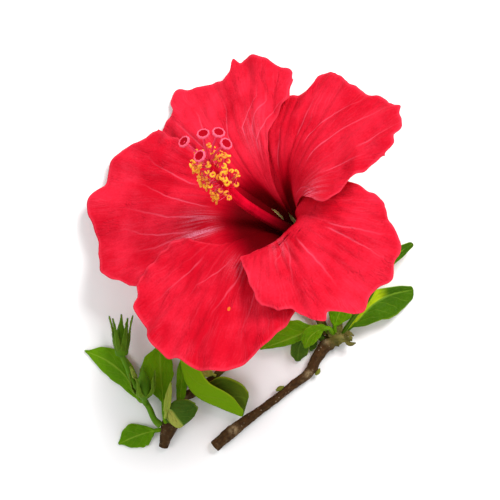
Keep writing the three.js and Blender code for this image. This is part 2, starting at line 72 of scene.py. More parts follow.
def makeStudio():
    scene = bpy.context.scene
    scene.view_settings.view_transform = "Standard"
    lensData = bpy.data.cameras.new("camera")
    lensData.lens = view["lens"]
    lensData.sensor_width = 36.0
    camera = bpy.data.objects.new("camera", lensData)
    camera.location = (0, wholeShift[1] * mm, view["height"] * mm)
    scene.collection.objects.link(camera)
    scene.camera = camera

    world = bpy.data.worlds.new("paleRoom")
    world.use_nodes = True
    sky = world.node_tree.nodes["Background"]
    sky.inputs["Color"].default_value = (1, 1, 1, 1)
    sky.inputs["Strength"].default_value = view["skyStrength"]
    scene.world = world
    aimedLight("keyLight", view["keyPlace"], view["keyPower"], view["keySize"])
    aimedLight("fillLight", view["fillPlace"], view["fillPower"], view["keySize"])

    floorMesh = bpy.data.meshes.new("floor")
    side = 4.0  # half the floor, in metres
    corners = [(-side, -side, 0), (side, -side, 0), (side, side, 0), (-side, side, 0)]
    floorMesh.from_pydata(corners, [], [(0, 1, 2, 3)])
    floor = bpy.data.objects.new("floor", floorMesh)
    scene.collection.objects.link(floor)
    floorMesh.materials.append(floorPaper())


def ease(value, start, end):
    t = np.clip((np.asarray(value, float) - start) / (end - start), 0, 1)
    return t * t * (3 - 2 * t)


def mix(a, b, share):
    return a + (b - a) * share


def readCurve(points, x):
    table = np.array(points, float)  # smooth curve through [x, y] points, held level past its ends
    xs, ys = table[:, 0], table[:, 1]
    slopes = np.zeros(len(xs))
    slopes[1:-1] = (ys[2:] - ys[:-2]) / (xs[2:] - xs[:-2])
    x = np.clip(np.asarray(x, float), xs[0], xs[-1])
    i = np.clip(np.searchsorted(xs, x, side="right") - 1, 0, len(xs) - 2)
    width = xs[i + 1] - xs[i]
    t = (x - xs[i]) / width
    first = ys[i] * (1 + 2 * t) * (1 - t) ** 2 + slopes[i] * width * t * (1 - t) ** 2
    return first + ys[i + 1] * (3 - 2 * t) * t * t + slopes[i + 1] * width * (t - 1) * t * t


def readEven(values, t):
    return readCurve(np.stack([np.linspace(0, 1, len(values)), values], 1), t)


def rumple(x, y, seed, waves=14):
    chance = np.random.default_rng(seed)  # soft random waves, one unit across, about -1 to 1
    total = np.zeros(np.broadcast(x, y).shape)
    for _ in range(waves):
        angle = chance.uniform(0, 2 * pi)
        pitch = chance.uniform(0.6, 1.7) * 2 * pi
        start = chance.uniform(0, 2 * pi)
        total += np.sin(pitch * (x * math.cos(angle) + y * math.sin(angle)) + start)
    return total / math.sqrt(waves)


def unit(vectors):
    return vectors / np.maximum(np.linalg.norm(vectors, axis=-1, keepdims=True), 1e-9)


def smoothPath(points, count, withShare=False):
    p = np.array(points, float)  # spline through the points, read at even steps of its length
    p = np.vstack([2 * p[0] - p[1], p, 2 * p[-1] - p[-2]])
    fine = []
    spans = len(p) - 3
    for i in range(1, len(p) - 2):
        p0, p1, p2, p3 = p[i - 1:i + 3]
        d0, d1, d2 = (max(np.linalg.norm(b - a) ** 0.5, 1e-4) for a, b in ((p0, p1), (p1, p2), (p2, p3)))
        m1 = ((p1 - p0) / d0 - (p2 - p0) / (d0 + d1) + (p2 - p1) / d1) * d1
        m2 = ((p2 - p1) / d1 - (p3 - p1) / (d1 + d2) + (p3 - p2) / d2) * d1
        t = np.linspace(0, 1, 33)[:, None]
        curve = p1 * (2 * t ** 3 - 3 * t ** 2 + 1) + m1 * (t ** 3 - 2 * t ** 2 + t)
        curve = curve + p2 * (3 * t ** 2 - 2 * t ** 3) + m2 * (t ** 3 - t ** 2)
        fine.append(curve if i == 1 else curve[1:])
    fine = np.vstack(fine)
    reach = np.concatenate([[0], np.cumsum(np.linalg.norm(np.diff(fine, axis=0), axis=1))])
    wanted = np.linspace(0, reach[-1], count)
    path = np.stack([np.interp(wanted, reach, fine[:, k]) for k in range(3)], 1)
    if withShare:  # how far along the list of points each step is
        return path, np.interp(wanted, reach, np.linspace(0, 1, 32 * spans + 1))
    return path


def makePiece(name, points, faces, material, replaces=(), uv=None, marks=None):
    mesh = bpy.data.meshes.new(name)
    mesh.from_pydata((np.asarray(points) * mm).tolist(), [], faces)
    if uv is not None:
        corner = np.empty(len(mesh.loops), np.int32)
        mesh.loops.foreach_get("vertex_index", corner)
        place = uv[corner]
        first = np.empty(len(mesh.polygons), np.int32)
        mesh.polygons.foreach_get("loop_start", first)
        size = np.diff(np.append(first, len(corner)))
        highest = np.repeat(np.maximum.reduceat(place[:, 0], first), size)
        place[highest - place[:, 0] > 0.5, 0] += 1  # a face that closes a ring doesn't run back to 0
        mesh.uv_layers.new(name="skin").data.foreach_set("uv", place.astype(np.float32).ravel())
    for label, values in (marks or {}).items():
        mesh.attributes.new(label, "FLOAT", "POINT").data.foreach_set("value", values.astype(np.float32))
    mesh.materials.append(material)
    mesh.shade_smooth()
    piece = bpy.data.objects.new(name, mesh)
    bpy.context.scene.collection.objects.link(piece)
    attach(piece, "root")
    if replaces:
        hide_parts(*replaces)
    return piece


def nodeName(name):  # the piece leafFarLeft stands in for the node leaf_far_left
    return re.sub("([A-Z]|[0-9]+)", r"_\1", name).lower()


def gridFaces(rows, columns, offset=0, flip=False):
    index = np.arange(rows * columns).reshape(rows, columns) + offset
    a, b = index[:-1, :-1].ravel(), index[:-1, 1:].ravel()
    c, d = index[1:, 1:].ravel(), index[1:, :-1].ravel()
    return np.stack([a, d, c, b] if flip else [a, b, c, d], 1).tolist()


def shell(middle, thickness):
    # closed thin wall round a grid of middle points, upper side first
    rows, columns = middle.shape[:2]
    up = unit(np.cross(np.gradient(middle, axis=1), np.gradient(middle, axis=0)))
    half = (np.asarray(thickness) / 2)[..., None]
    points = np.concatenate([(middle + up * half).reshape(-1, 3), (middle - up * half).reshape(-1, 3)])
    count = rows * columns
    faces = gridFaces(rows, columns) + gridFaces(rows, columns, count, True)
    index = np.arange(count).reshape(rows, columns)
    loop = np.concatenate([index[0, :-1], index[:-1, -1], index[-1, :0:-1], index[:0:-1, 0]])
    after = np.roll(loop, -1)
    faces += np.stack([loop + count, after + count, after, loop], 1).tolist()
    return points, faces


def twice(values):
    return np.concatenate([values.reshape(-1), values.reshape(-1)])


def tube(path, radii, sides, wobble=None):
    # round stem along a path, with a small rounded edge and a flat face at each end
    edge, narrow = 0.1, 0.86  # how long the edge is in mm and how far it draws in
    radii = np.asarray(radii, float)
    ahead = unit(np.gradient(path, axis=0))
    path = np.vstack([path[:1] - ahead[:1] * edge, path, path[-1:] + ahead[-1:] * edge])
    radii = np.concatenate([radii[:1] * narrow, radii, radii[-1:] * narrow])
    ahead = np.vstack([ahead[:1], ahead, ahead[-1:]])
    down = unit(np.array([0.0, 0.0, -1.0]) + ahead * ahead[:, 2:])  # the seam runs along the underside
    other = np.cross(ahead, down)
    turn = np.arange(sides) * 2 * pi / sides
    around = np.cos(turn)[None, :, None] * down[:, None] + np.sin(turn)[None, :, None] * other[:, None]
    size = np.repeat(radii[:, None], sides, 1)
    if wobble is not None:
        size[1:-1] *= 1 + wobble
        size[0] = size[1] * narrow
        size[-1] = size[-2] * narrow
    rings = path[:, None] + around * size[..., None]
    return closedRings(rings, path[0], path[-1])


def closedRings(rings, firstPole, lastPole):
    # rings are ordered so that each turns right-handed about the direction to the next one
    count, sides = rings.shape[:2]
    points = np.vstack([rings.reshape(-1, 3), firstPole, lastPole])
    index = np.arange(count * sides).reshape(count, sides)
    after = np.roll(index, -1, axis=1)
    walls = np.stack([index[:-1], after[:-1], after[1:], index[1:]], -1).reshape(-1, 4).tolist()
    pole = count * sides
    walls += [(int(b), int(a), pole) for a, b in zip(index[0], after[0])]
    walls += [(int(a), int(b), pole + 1) for a, b in zip(index[-1], after[-1])]
    around = np.tile(np.arange(sides) / sides, count)
    along = np.repeat(np.linspace(0, 1, count), sides)
    uv = np.vstack([np.stack([around, along], 1), [[0.5, 0.0], [0.5, 1.0]]])
    return points, walls, uv


def paint(red, green, blue):
    def linear(value):  # from a screen value of 0 to 255
        share = value / 255
        return share / 12.92 if share <= 0.04045 else ((share + 0.055) / 1.055) ** 2.4
    return (linear(red), linear(green), linear(blue), 1.0)


def addNode(tree, kind, links=None, **settings):
    node = tree.nodes.new(kind)
    for key, value in settings.items():
        setattr(node, key, value)
    for socket, source in (links or {}).items():
        if isinstance(source, bpy.types.NodeSocket):
            tree.links.new(source, node.inputs[socket])
        else:
            node.inputs[socket].default_value = source
    return node


def calc(tree, operation, *values):
    return addNode(tree, "ShaderNodeMath", dict(enumerate(values)), operation=operation).outputs[0]


def times(tree, first, second):
    return calc(tree, "MULTIPLY", first, second)


def inverse(tree, value):
    return calc(tree, "SUBTRACT", 1.0, value)


def readMark(tree, name):
    return addNode(tree, "ShaderNodeAttribute", attribute_name=name).outputs["Fac"]


def mask(tree, value, start, end):
    links = {"Value": value, "From Min": start, "From Max": end}
    return addNode(tree, "ShaderNodeMapRange", links, interpolation_type="SMOOTHSTEP").outputs[0]


def mixColour(tree, share, first, second, blend="MIX"):
    links = {0: share, 6: first, 7: second}
    return addNode(tree, "ShaderNodeMix", links, data_type="RGBA", blend_type=blend).outputs[2]


def objectPlace(tree):
    return addNode(tree, "ShaderNodeTexCoord").outputs["Object"]


def skinPlace(tree):
    return addNode(tree, "ShaderNodeUVMap", uv_map="skin").outputs[0]


def noise(tree, place, scale, detail=3.0, stretch=None):
    if stretch:
        place = addNode(tree, "ShaderNodeMapping", {"Vector": place, "Scale": stretch}).outputs[0]
    links = {"Vector": place, "Scale": scale, "Detail": detail, "Roughness": 0.55}
    return addNode(tree, "ShaderNodeTexNoise", links).outputs["Fac"]


def bump(tree, height, strength, distance):
    links = {"Height": height, "Strength": strength, "Distance": distance * mm}
    return addNode(tree, "ShaderNodeBump", links).outputs[0]


def letLightThrough(tree, shader, colour, share):
    through = addNode(tree, "ShaderNodeBsdfTranslucent", {"Color": colour})
    links = {0: share, 1: shader.outputs[0], 2: through.outputs[0]}
    both = addNode(tree, "ShaderNodeMixShader", links)
    tree.links.new(both.outputs[0], tree.nodes["Material Output"].inputs["Surface"])


def newMaterial(name, roughness, **constants):
    material = bpy.data.materials.new(name)
    material.use_nodes = True
    shader = material.node_tree.nodes["Principled BSDF"]
    shader.inputs["Roughness"].default_value = roughness
    for label, value in constants.items():
        shader.inputs[label.replace("_", " ")].default_value = value
    return material, material.node_tree, shader


def newGroup(name, inputs, outputs, kind="ShaderNodeTree"):
    tree = bpy.data.node_groups.new(name, kind)
    for label, form, value in inputs:
        socket = tree.interface.new_socket(label, in_out="INPUT", socket_type="NodeSocket" + form)
        if value is not None:
            socket.default_value = value
    for label, form in outputs:
        tree.interface.new_socket(label, in_out="OUTPUT", socket_type="NodeSocket" + form)
    return tree, tree.nodes.new("NodeGroupInput"), tree.nodes.new("NodeGroupOutput")


def useGroup(tree, group, links):
    return addNode(tree, "ShaderNodeGroup", links, node_tree=group)


def buildVeinLine():
    # one vein on a petal: the skin map holds turn / 100 across and length / 100 mm along
    inputs = [("Skin", "Vector", None), ("Foot Turn", "Float", 0.0), ("Rim Turn", "Float", 0.0),
              ("Foot Length", "Float", 30.0), ("Rim Length", "Float", 60.0), ("Width", "Float", 0.5)]
    tree, given, result = newGroup("veinLine", inputs, [("Vein", "Float")])
    split = addNode(tree, "ShaderNodeSeparateXYZ", {0: given.outputs["Skin"]})
    turn = times(tree, split.outputs["X"], 100.0)
    length = times(tree, split.outputs["Y"], 100.0)
    foot, rim = given.outputs["Foot Length"], given.outputs["Rim Length"]
    links = {"Value": length, "From Min": foot, "From Max": rim,
             "To Min": given.outputs["Foot Turn"], "To Max": given.outputs["Rim Turn"]}
    lineTurn = addNode(tree, "ShaderNodeMapRange", links).outputs[0]
    wander = noise(tree, given.outputs["Skin"], 9.0, 2.0)
    wander = calc(tree, "MULTIPLY_ADD", wander, 3.0, -1.5)
    off = calc(tree, "ABSOLUTE", calc(tree, "SUBTRACT", calc(tree, "ADD", turn, wander), lineTurn))
    off = times(tree, times(tree, off, length), arcPerDegree)
    line = inverse(tree, mask(tree, off, 0.0, given.outputs["Width"]))
    fadeIn = mask(tree, length, calc(tree, "SUBTRACT", foot, 5.0), foot)
    fadeOut = inverse(tree, mask(tree, length, foot, calc(tree, "ADD", rim, 6.0)))
    line = times(tree, times(tree, line, fadeIn), fadeOut)
    tree.links.new(line, result.inputs["Vein"])
    return tree


def buildFineVeins():
    # fan of faint veins that doubles towards the margin
    inputs = [("Skin", "Vector", None), ("Pitch", "Float", 6.0)]
    tree, given, result = newGroup("fineVeins", inputs, [("Veins", "Float"), ("Pleats", "Float")])
    split = addNode(tree, "ShaderNodeSeparateXYZ", {0: given.outputs["Skin"]})
    wander = noise(tree, given.outputs["Skin"], 7.0, 3.0)
    turn = calc(tree, "MULTIPLY_ADD", split.outputs["X"], 100.0, times(tree, wander, 7.0))
    length = times(tree, split.outputs["Y"], 100.0)
    masks = []
    for share, start in ((1.0, 24.0), (0.5, 42.0), (0.25, 56.0)):
        pitch = times(tree, given.outputs["Pitch"], share)
        cell = calc(tree, "FRACT", calc(tree, "DIVIDE", turn, pitch))
        off = calc(tree, "ABSOLUTE", calc(tree, "SUBTRACT", cell, 0.5))
        off = times(tree, times(tree, off, pitch), times(tree, length, arcPerDegree))
        line = inverse(tree, mask(tree, off, 0.0, 0.35))
        masks.append(times(tree, line, mask(tree, length, start, start + 9.0)))
        if share == 1.0:
            wave = calc(tree, "COSINE", times(tree, calc(tree, "DIVIDE", turn, pitch), 2 * pi))
            tree.links.new(wave, result.inputs["Pleats"])
    both = calc(tree, "MAXIMUM", masks[0], times(tree, masks[1], 0.8))
    both = calc(tree, "MAXIMUM", both, times(tree, masks[2], 0.6))
    tree.links.new(both, result.inputs["Veins"])
    return tree


def buildCreases():
    # sparse sharp creases that run roughly along the petal and cross each other
    tree, given, result = newGroup("creases", [("Skin", "Vector", None)], [("Crease", "Float")])
    ridges = []
    for stretch, turn in (((22.0, 7.0, 1.0), 0.35), ((34.0, 10.0, 1.0), -0.3)):
        links = {"Vector": given.outputs["Skin"], "Rotation": (0, 0, turn), "Scale": stretch}
        place = addNode(tree, "ShaderNodeMapping", links).outputs[0]
        cloud = noise(tree, place, 1.0, 2.5)
        off = calc(tree, "ABSOLUTE", calc(tree, "SUBTRACT", cloud, 0.5))
        ridges.append(inverse(tree, mask(tree, off, 0.0, 0.035)))
    sparse = mask(tree, noise(tree, given.outputs["Skin"], 11.0, 2.0), 0.45, 0.65)
    both = calc(tree, "MAXIMUM", ridges[0], times(tree, ridges[1], 0.7))
    tree.links.new(times(tree, both, sparse), result.inputs["Crease"])
    return tree


def buildMottle():
    # cloudy light and dark patches
    inputs = [("Vector", "Vector", None), ("Scale", "Float", 5.0), ("Contrast", "Float", 0.25)]
    tree, given, result = newGroup("mottle", inputs, [("Patches", "Float")])
    cloud = noise(tree, given.outputs["Vector"], given.outputs["Scale"], 4.0)
    low = calc(tree, "SUBTRACT", 0.5, given.outputs["Contrast"])
    high = calc(tree, "ADD", 0.5, given.outputs["Contrast"])
    tree.links.new(mask(tree, cloud, low, high), result.inputs["Patches"])
    return tree


def buildLeafVeins():
    # midrib, side veins and a fine net: the skin map holds across and along the blade
    inputs = [("Skin", "Vector", None), ("Side Veins", "Float", 6.0), ("Slant", "Float", 0.34)]
    outputs = [("Midrib", "Float"), ("Side", "Float"), ("Net", "Float"), ("Edge", "Float")]
    tree, given, result = newGroup("leafVeins", inputs, outputs)
    split = addNode(tree, "ShaderNodeSeparateXYZ", {0: given.outputs["Skin"]})
    across = calc(tree, "ABSOLUTE", calc(tree, "MULTIPLY_ADD", split.outputs["X"], 2.0, -1.0))
    along = split.outputs["Y"]
    midrib = inverse(tree, mask(tree, across, 0.02, 0.1))
    bend = times(tree, calc(tree, "POWER", across, 0.85), given.outputs["Slant"])
    handed = times(tree, calc(tree, "GREATER_THAN", split.outputs["X"], 0.5), 0.06)
    wander = times(tree, noise(tree, given.outputs["Skin"], 4.0, 2.0), 0.07)
    step = calc(tree, "ADD", calc(tree, "SUBTRACT", along, bend), calc(tree, "ADD", handed, wander))
    cell = calc(tree, "FRACT", times(tree, step, given.outputs["Side Veins"]))
    off = calc(tree, "ABSOLUTE", calc(tree, "SUBTRACT", cell, 0.5))
    side = inverse(tree, mask(tree, off, 0.015, 0.085))
    side = times(tree, side, inverse(tree, mask(tree, across, 0.55, 0.95)))
    cells = addNode(tree, "ShaderNodeTexVoronoi", {"Vector": given.outputs["Skin"], "Scale": 22.0},
                    feature="DISTANCE_TO_EDGE")
    net = inverse(tree, mask(tree, cells.outputs["Distance"], 0.0, 0.12))
    for label, value in (("Midrib", midrib), ("Side", side), ("Net", net),
                         ("Edge", mask(tree, across, 0.9, 1.0))):
        tree.links.new(value, result.inputs[label])
    return tree


veinLine = buildVeinLine()
fineVeins = buildFineVeins()
creases = buildCreases()
mottle = buildMottle()
leafVeins = buildLeafVeins()


def floorPaper():
    material, tree, shader = newMaterial("paleFloor", 0.9, Specular_IOR_Level=0.1)
    patches = useGroup(tree, mottle, {"Vector": objectPlace(tree), "Scale": 3.0}).outputs[0]
    colour = mixColour(tree, patches, paint(252, 252, 252), paint(249, 250, 250))
    tree.links.new(colour, shader.inputs["Base Color"])
    return material


petalLook = {
    "red": paint(240, 42, 68),
    "deepRed": paint(206, 12, 36),
    "vein": paint(252, 108, 136),
    "frostAndHighlight": paint(255, 164, 194),
    # pinker margin: partly paler thin tissue, partly painted sheen
    "rimSheenPink": paint(244, 62, 86),
    "shade": paint(196, 0, 26),
    "crimson": paint(156, 0, 20),
    "throat": paint(94, 0, 6),
    "back": paint(228, 62, 84),
    "pollen": paint(238, 120, 40),
    "showThrough": 0.2,
    "roughness": 0.62,
}


def petalBody(tree, petal, streaks):
    # velvety red, cloudy and streaked, with a pinker rim that is partly paler thin tissue and partly painted
    # sheen
    look = petalLook
    place = objectPlace(tree)
    clouds = useGroup(tree, mottle, {"Vector": place, "Scale": 60.0, "Contrast": 0.28}).outputs[0]
    velvet = noise(tree, place, 1500.0, 2.0)
    body = calc(tree, "MULTIPLY_ADD", velvet, 0.5, times(tree, clouds, 0.7))
    # each petal's brightness number lightens or darkens all of it, as painted light and shade for how much
    # light that petal gets
    body = calc(tree, "MULTIPLY_ADD", streaks, -0.3, calc(tree, "ADD", body, petal["paintedLight"]))
    colour = mixColour(tree, mask(tree, body, 0.0, 1.0), look["deepRed"], look["red"])
    rim = mask(tree, readMark(tree, "rim"), 0.0, 1.0)
    return mixColour(tree, times(tree, rim, 0.5), colour, look["rimSheenPink"])


def petalVeins(tree, petal, skin):
    # the strongest of the petal's own veins at each point
    lines = None
    for footTurn, rimTurn, footLength, rimLength, strength in petal["veins"]:
        links = {"Skin": skin, "Foot Turn": footTurn, "Rim Turn": rimTurn, "Foot Length": footLength,
                 "Rim Length": rimLength, "Width": 0.5}
        line = times(tree, useGroup(tree, veinLine, links).outputs[0], strength)
        lines = line if lines is None else calc(tree, "MAXIMUM", lines, line)
    return lines


def petalThroat(tree, colour, skin, streaks, deep):
    # red deepens towards the throat, through a frosty bloom with one painted highlight, to nearly black
    # crimson
    look = petalLook
    # towards the throat the red darkens: partly the flower's own dark eye, partly painted shade where petals
    # dip under their neighbours
    colour = mixColour(tree, times(tree, deep, 0.85), colour, look["shade"])
    rays = noise(tree, skin, 1.0, 4.0, (70.0, 7.0, 1.0))
    grain = noise(tree, skin, 1.0, 3.0, (240.0, 160.0, 1.0))
    bloom = times(tree, mask(tree, rays, 0.36, 0.6), mask(tree, grain, 0.3, 0.6))
    # the pale spots are a frosty bloom, and in one place a painted highlight on a lit curled margin
    colour = mixColour(tree, times(tree, bloom, readMark(tree, "frostAndHighlight")), colour, look["frostAndHighlight"])
    dark = readMark(tree, "throat")
    ragged = calc(tree, "MULTIPLY_ADD", streaks, 0.3, calc(tree, "SUBTRACT", dark, 0.15))
    colour = mixColour(tree, mask(tree, ragged, 0.0, 0.55), colour, look["crimson"])
    return mixColour(tree, mask(tree, ragged, 0.3, 0.95), colour, look["throat"])


def petalSkin(petal):
    look = petalLook
    material, tree, shader = newMaterial(petal["name"] + "Skin", look["roughness"], Specular_IOR_Level=0.02)
    skin = skinPlace(tree)
    streaks = noise(tree, skin, 1.0, 4.0, (210.0, 12.0, 1.0))
    fan = useGroup(tree, fineVeins, {"Skin": skin, "Pitch": petal["finePitch"]})
    patchy = noise(tree, skin, 1.0, 2.0, (14.0, 9.0, 1.0))
    faint = times(tree, fan.outputs["Veins"], mask(tree, patchy, 0.4, 0.7))
    lines = petalVeins(tree, petal, skin)
    deep = readMark(tree, "deep")
    colour = petalBody(tree, petal, streaks)
    colour = mixColour(tree, times(tree, faint, 0.11), colour, look["vein"])
    colour = mixColour(tree, times(tree, lines, 0.62), colour, look["vein"])
    colour = petalThroat(tree, colour, skin, streaks, deep)
    colour = mixColour(tree, mask(tree, readMark(tree, "pollen"), 0.3, 0.5), colour, look["pollen"])
    colour = mixColour(tree, times(tree, readMark(tree, "under"), 0.6), colour, look["back"])
    tree.links.new(colour, shader.inputs["Base Color"])

    crepe = noise(tree, skin, 1.0, 4.0, (130.0, 40.0, 1.0))
    height = calc(tree, "MULTIPLY_ADD", fan.outputs["Pleats"], 0.1, times(tree, crepe, 0.6))
    height = calc(tree, "SUBTRACT", height, times(tree, lines, 0.5))
    crinkle = useGroup(tree, creases, {"Skin": skin}).outputs[0]
    height = calc(tree, "SUBTRACT", height, times(tree, crinkle, 0.8))
    height = times(tree, height, calc(tree, "MULTIPLY_ADD", deep, -0.8, 1.0))
    tree.links.new(bump(tree, height, 0.55, 0.5), shader.inputs["Normal"])
    letLightThrough(tree, shader, colour, look["showThrough"])
    return material


def fleshSkin(name, light, dark, roughness, scale=160.0, height=0.15, paintedLitLining=None, **constants):
    # smooth living skin in two tones
    material, tree, shader = newMaterial(name, roughness, **constants)
    place = objectPlace(tree)
    patches = useGroup(tree, mottle, {"Vector": place, "Scale": scale, "Contrast": 0.3}).outputs[0]
    colour = mixColour(tree, patches, dark, light)
    # the lining colour is painted lighter than the real inside, as painted light for the shaded inside of the
    # cup
    if paintedLitLining:
        inside = readMark(tree, "inside")
        colour = mixColour(tree, inside, colour, paintedLitLining)
    tree.links.new(colour, shader.inputs["Base Color"])
    grain = noise(tree, place, scale * 9, 3.0)
    tree.links.new(bump(tree, grain, 0.5, height), shader.inputs["Normal"])
    return material


def leafSkin(name, look, roughness=0.42):
    material, tree, shader = newMaterial(name, roughness, Specular_IOR_Level=0.05)
    skin = skinPlace(tree)
    veins = useGroup(tree, leafVeins, {"Skin": skin, "Side Veins": look.get("sideVeins", 6.0)})
    patches = useGroup(tree, mottle, {"Vector": objectPlace(tree), "Scale": 70.0}).outputs[0]
    under = readMark(tree, "under")
    colour = mixColour(tree, patches, look["topDark"], look["top"])
    paleSide = readMark(tree, "pale")
    colour = mixColour(tree, times(tree, paleSide, 0.9), colour, look["pale"])
    colour = mixColour(tree, under, colour, look["back"])
    paler = times(tree, veins.outputs["Side"], 0.22)
    paler = calc(tree, "MAXIMUM", paler, times(tree, veins.outputs["Midrib"], 0.5))
    paler = calc(tree, "MAXIMUM", paler, times(tree, veins.outputs["Net"], 0.07))
    colour = mixColour(tree, paler, colour, look["rib"])
    colour = mixColour(tree, times(tree, veins.outputs["Edge"], 0.6), colour, look["edge"])
    tree.links.new(colour, shader.inputs["Base Color"])
    grooves = calc(tree, "MAXIMUM", veins.outputs["Side"], times(tree, veins.outputs["Net"], 0.3))
    grain = noise(tree, objectPlace(tree), 900.0, 3.0)
    height = calc(tree, "MULTIPLY_ADD", grain, 0.35, times(tree, grooves, -0.8))
    tree.links.new(bump(tree, height, 0.6, 0.25), shader.inputs["Normal"])
    dull = calc(tree, "MULTIPLY_ADD", under, 0.25, roughness)
    tree.links.new(dull, shader.inputs["Roughness"])
    letLightThrough(tree, shader, colour, 0.15)
    return material


barkLook = {
    "brown": paint(76, 52, 24),
    "dark": paint(48, 30, 12),
    "grey": paint(150, 130, 96),
    "green": paint(104, 108, 36),
    "wood": paint(196, 178, 128),
}


def barkSkin():
    look = barkLook
    material, tree, shader = newMaterial("barkSkin", 0.85, Specular_IOR_Level=0.15)
    place = objectPlace(tree)
    skin = skinPlace(tree)
    fissures = noise(tree, skin, 1.0, 5.0, (9.0, 34.0, 1.0))
    flakes = noise(tree, place, 650.0, 4.0)
    patches = useGroup(tree, mottle, {"Vector": place, "Scale": 130.0, "Contrast": 0.2}).outputs[0]
    colour = mixColour(tree, mask(tree, fissures, 0.25, 0.7), look["dark"], look["brown"])
    colour = mixColour(tree, times(tree, mask(tree, flakes, 0.52, 0.75), 0.22), colour, look["grey"])
    colour = mixColour(tree, times(tree, patches, 0.15), colour, look["dark"])
    scar = readMark(tree, "scar")
    colour = mixColour(tree, times(tree, scar, mask(tree, flakes, 0.3, 0.6)), colour, look["grey"])
    green = readMark(tree, "green")
    colour = mixColour(tree, times(tree, green, 0.85), colour, look["green"])
    cut = readMark(tree, "cut")
    colour = mixColour(tree, mask(tree, cut, 0.5, 1.0), colour, look["wood"])
    tree.links.new(colour, shader.inputs["Base Color"])
    height = calc(tree, "ADD", fissures, times(tree, flakes, 0.5))
    tree.links.new(bump(tree, height, 0.5, 0.35), shader.inputs["Normal"])
    return material


def newTree(name, inputs):
    inputs = [("Geometry", "Geometry", None)] + inputs
    return newGroup(name, inputs, [("Geometry", "Geometry")], "GeometryNodeTree")


def vecCalc(tree, operation, *values):
    return addNode(tree, "ShaderNodeVectorMath", dict(enumerate(values)), operation=operation).outputs[0]


def scaleVector(tree, vector, factor):
    links = {0: vector, "Scale": factor}
    return addNode(tree, "ShaderNodeVectorMath", links, operation="SCALE").outputs[0]


def evenScale(tree, size):
    return addNode(tree, "ShaderNodeCombineXYZ", {0: size, 1: size, 2: size}).outputs[0]


def chance(tree, low, high, seed):
    # a random number for each point, by its place in the list
    number = addNode(tree, "GeometryNodeInputIndex").outputs[0]
    links = {2: low, 3: high, "ID": number, "Seed": seed}
    return addNode(tree, "FunctionNodeRandomValue", links, data_type="FLOAT").outputs[1]


def scatter(tree, mesh, density, seed):
    links = {"Mesh": mesh, "Density": density, "Seed": seed}
    return addNode(tree, "GeometryNodeDistributePointsOnFaces", links, distribute_method="RANDOM").outputs


def putCopies(tree, points, shape, **links):
    links = {"Points": points, "Instance": shape, **links}
    return addNode(tree, "GeometryNodeInstanceOnPoints", links).outputs[0]


def turnBy(tree, rotation, axis, angle):
    step = addNode(tree, "FunctionNodeAxisAngleToRotation", {"Axis": axis, "Angle": angle}).outputs[0]
    return addNode(tree, "FunctionNodeRotateRotation", {0: rotation, 1: step},
                   rotation_space="LOCAL").outputs[0]


def circle(tree, sides, radius):
    links = {"Resolution": sides, "Radius": radius}
    return addNode(tree, "GeometryNodeCurvePrimitiveCircle", links, mode="RADIUS").outputs[0]


def growPiece(name, tree, start, values):
    # runs a Geometry Nodes tree once and keeps the result as a plain mesh
    piece = bpy.data.objects.new(name, start)
    bpy.context.scene.collection.objects.link(piece)
    modifier = piece.modifiers.new("grow", "NODES")
    modifier.node_group = tree
    for item in tree.interface.items_tree:
        if item.in_out == "INPUT" and item.name in values:
            modifier[item.identifier] = values[item.name]
    graph = bpy.context.evaluated_depsgraph_get()
    grown = bpy.data.meshes.new_from_object(piece.evaluated_get(graph), depsgraph=graph)
    piece.modifiers.remove(modifier)
    piece.data = grown
    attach(piece, "root")
    return piece


# Sizes in mm and turns in degrees. The flower leans from upright towards its heading; its petals follow a
# funnel that is steep in the throat and nearly flat in the limb, and each lies a layer over the next.
flower = {
    "base": (18.2, 4.8, 15.8),
    "lean": 45.0,
    "heading": 140.0,
    "clawRadius": 3.2,
    "throatSlope": 14.0,
    "limbSlope": 86.0,
    "limbSwing": -10.0,
    "swingHeading": 145.0,
    "flareLength": 50.0,
    "petalStart": 0.6,
    "layerStep": 1.8,
    "layerEase": 22.0,
    "petalWall": 0.34,
    "rimWall": 0.12,
    "rimWave": 0.25,
    "sideWave": 0.7,
    "rimRuffle": 0.75,
    "sideRuffle": 0.45,
    "pleats": 0.22,
    "swells": 0.42,
    "wrinkles": 0.13,
    "veinDepth": 0.16,
    "veinWidth": 0.7,
    "rows": 170,
    "columns": 124,
}

plainPetal = {"dip": 0.0, "raised": 0.0, "speck": (0, 99)}
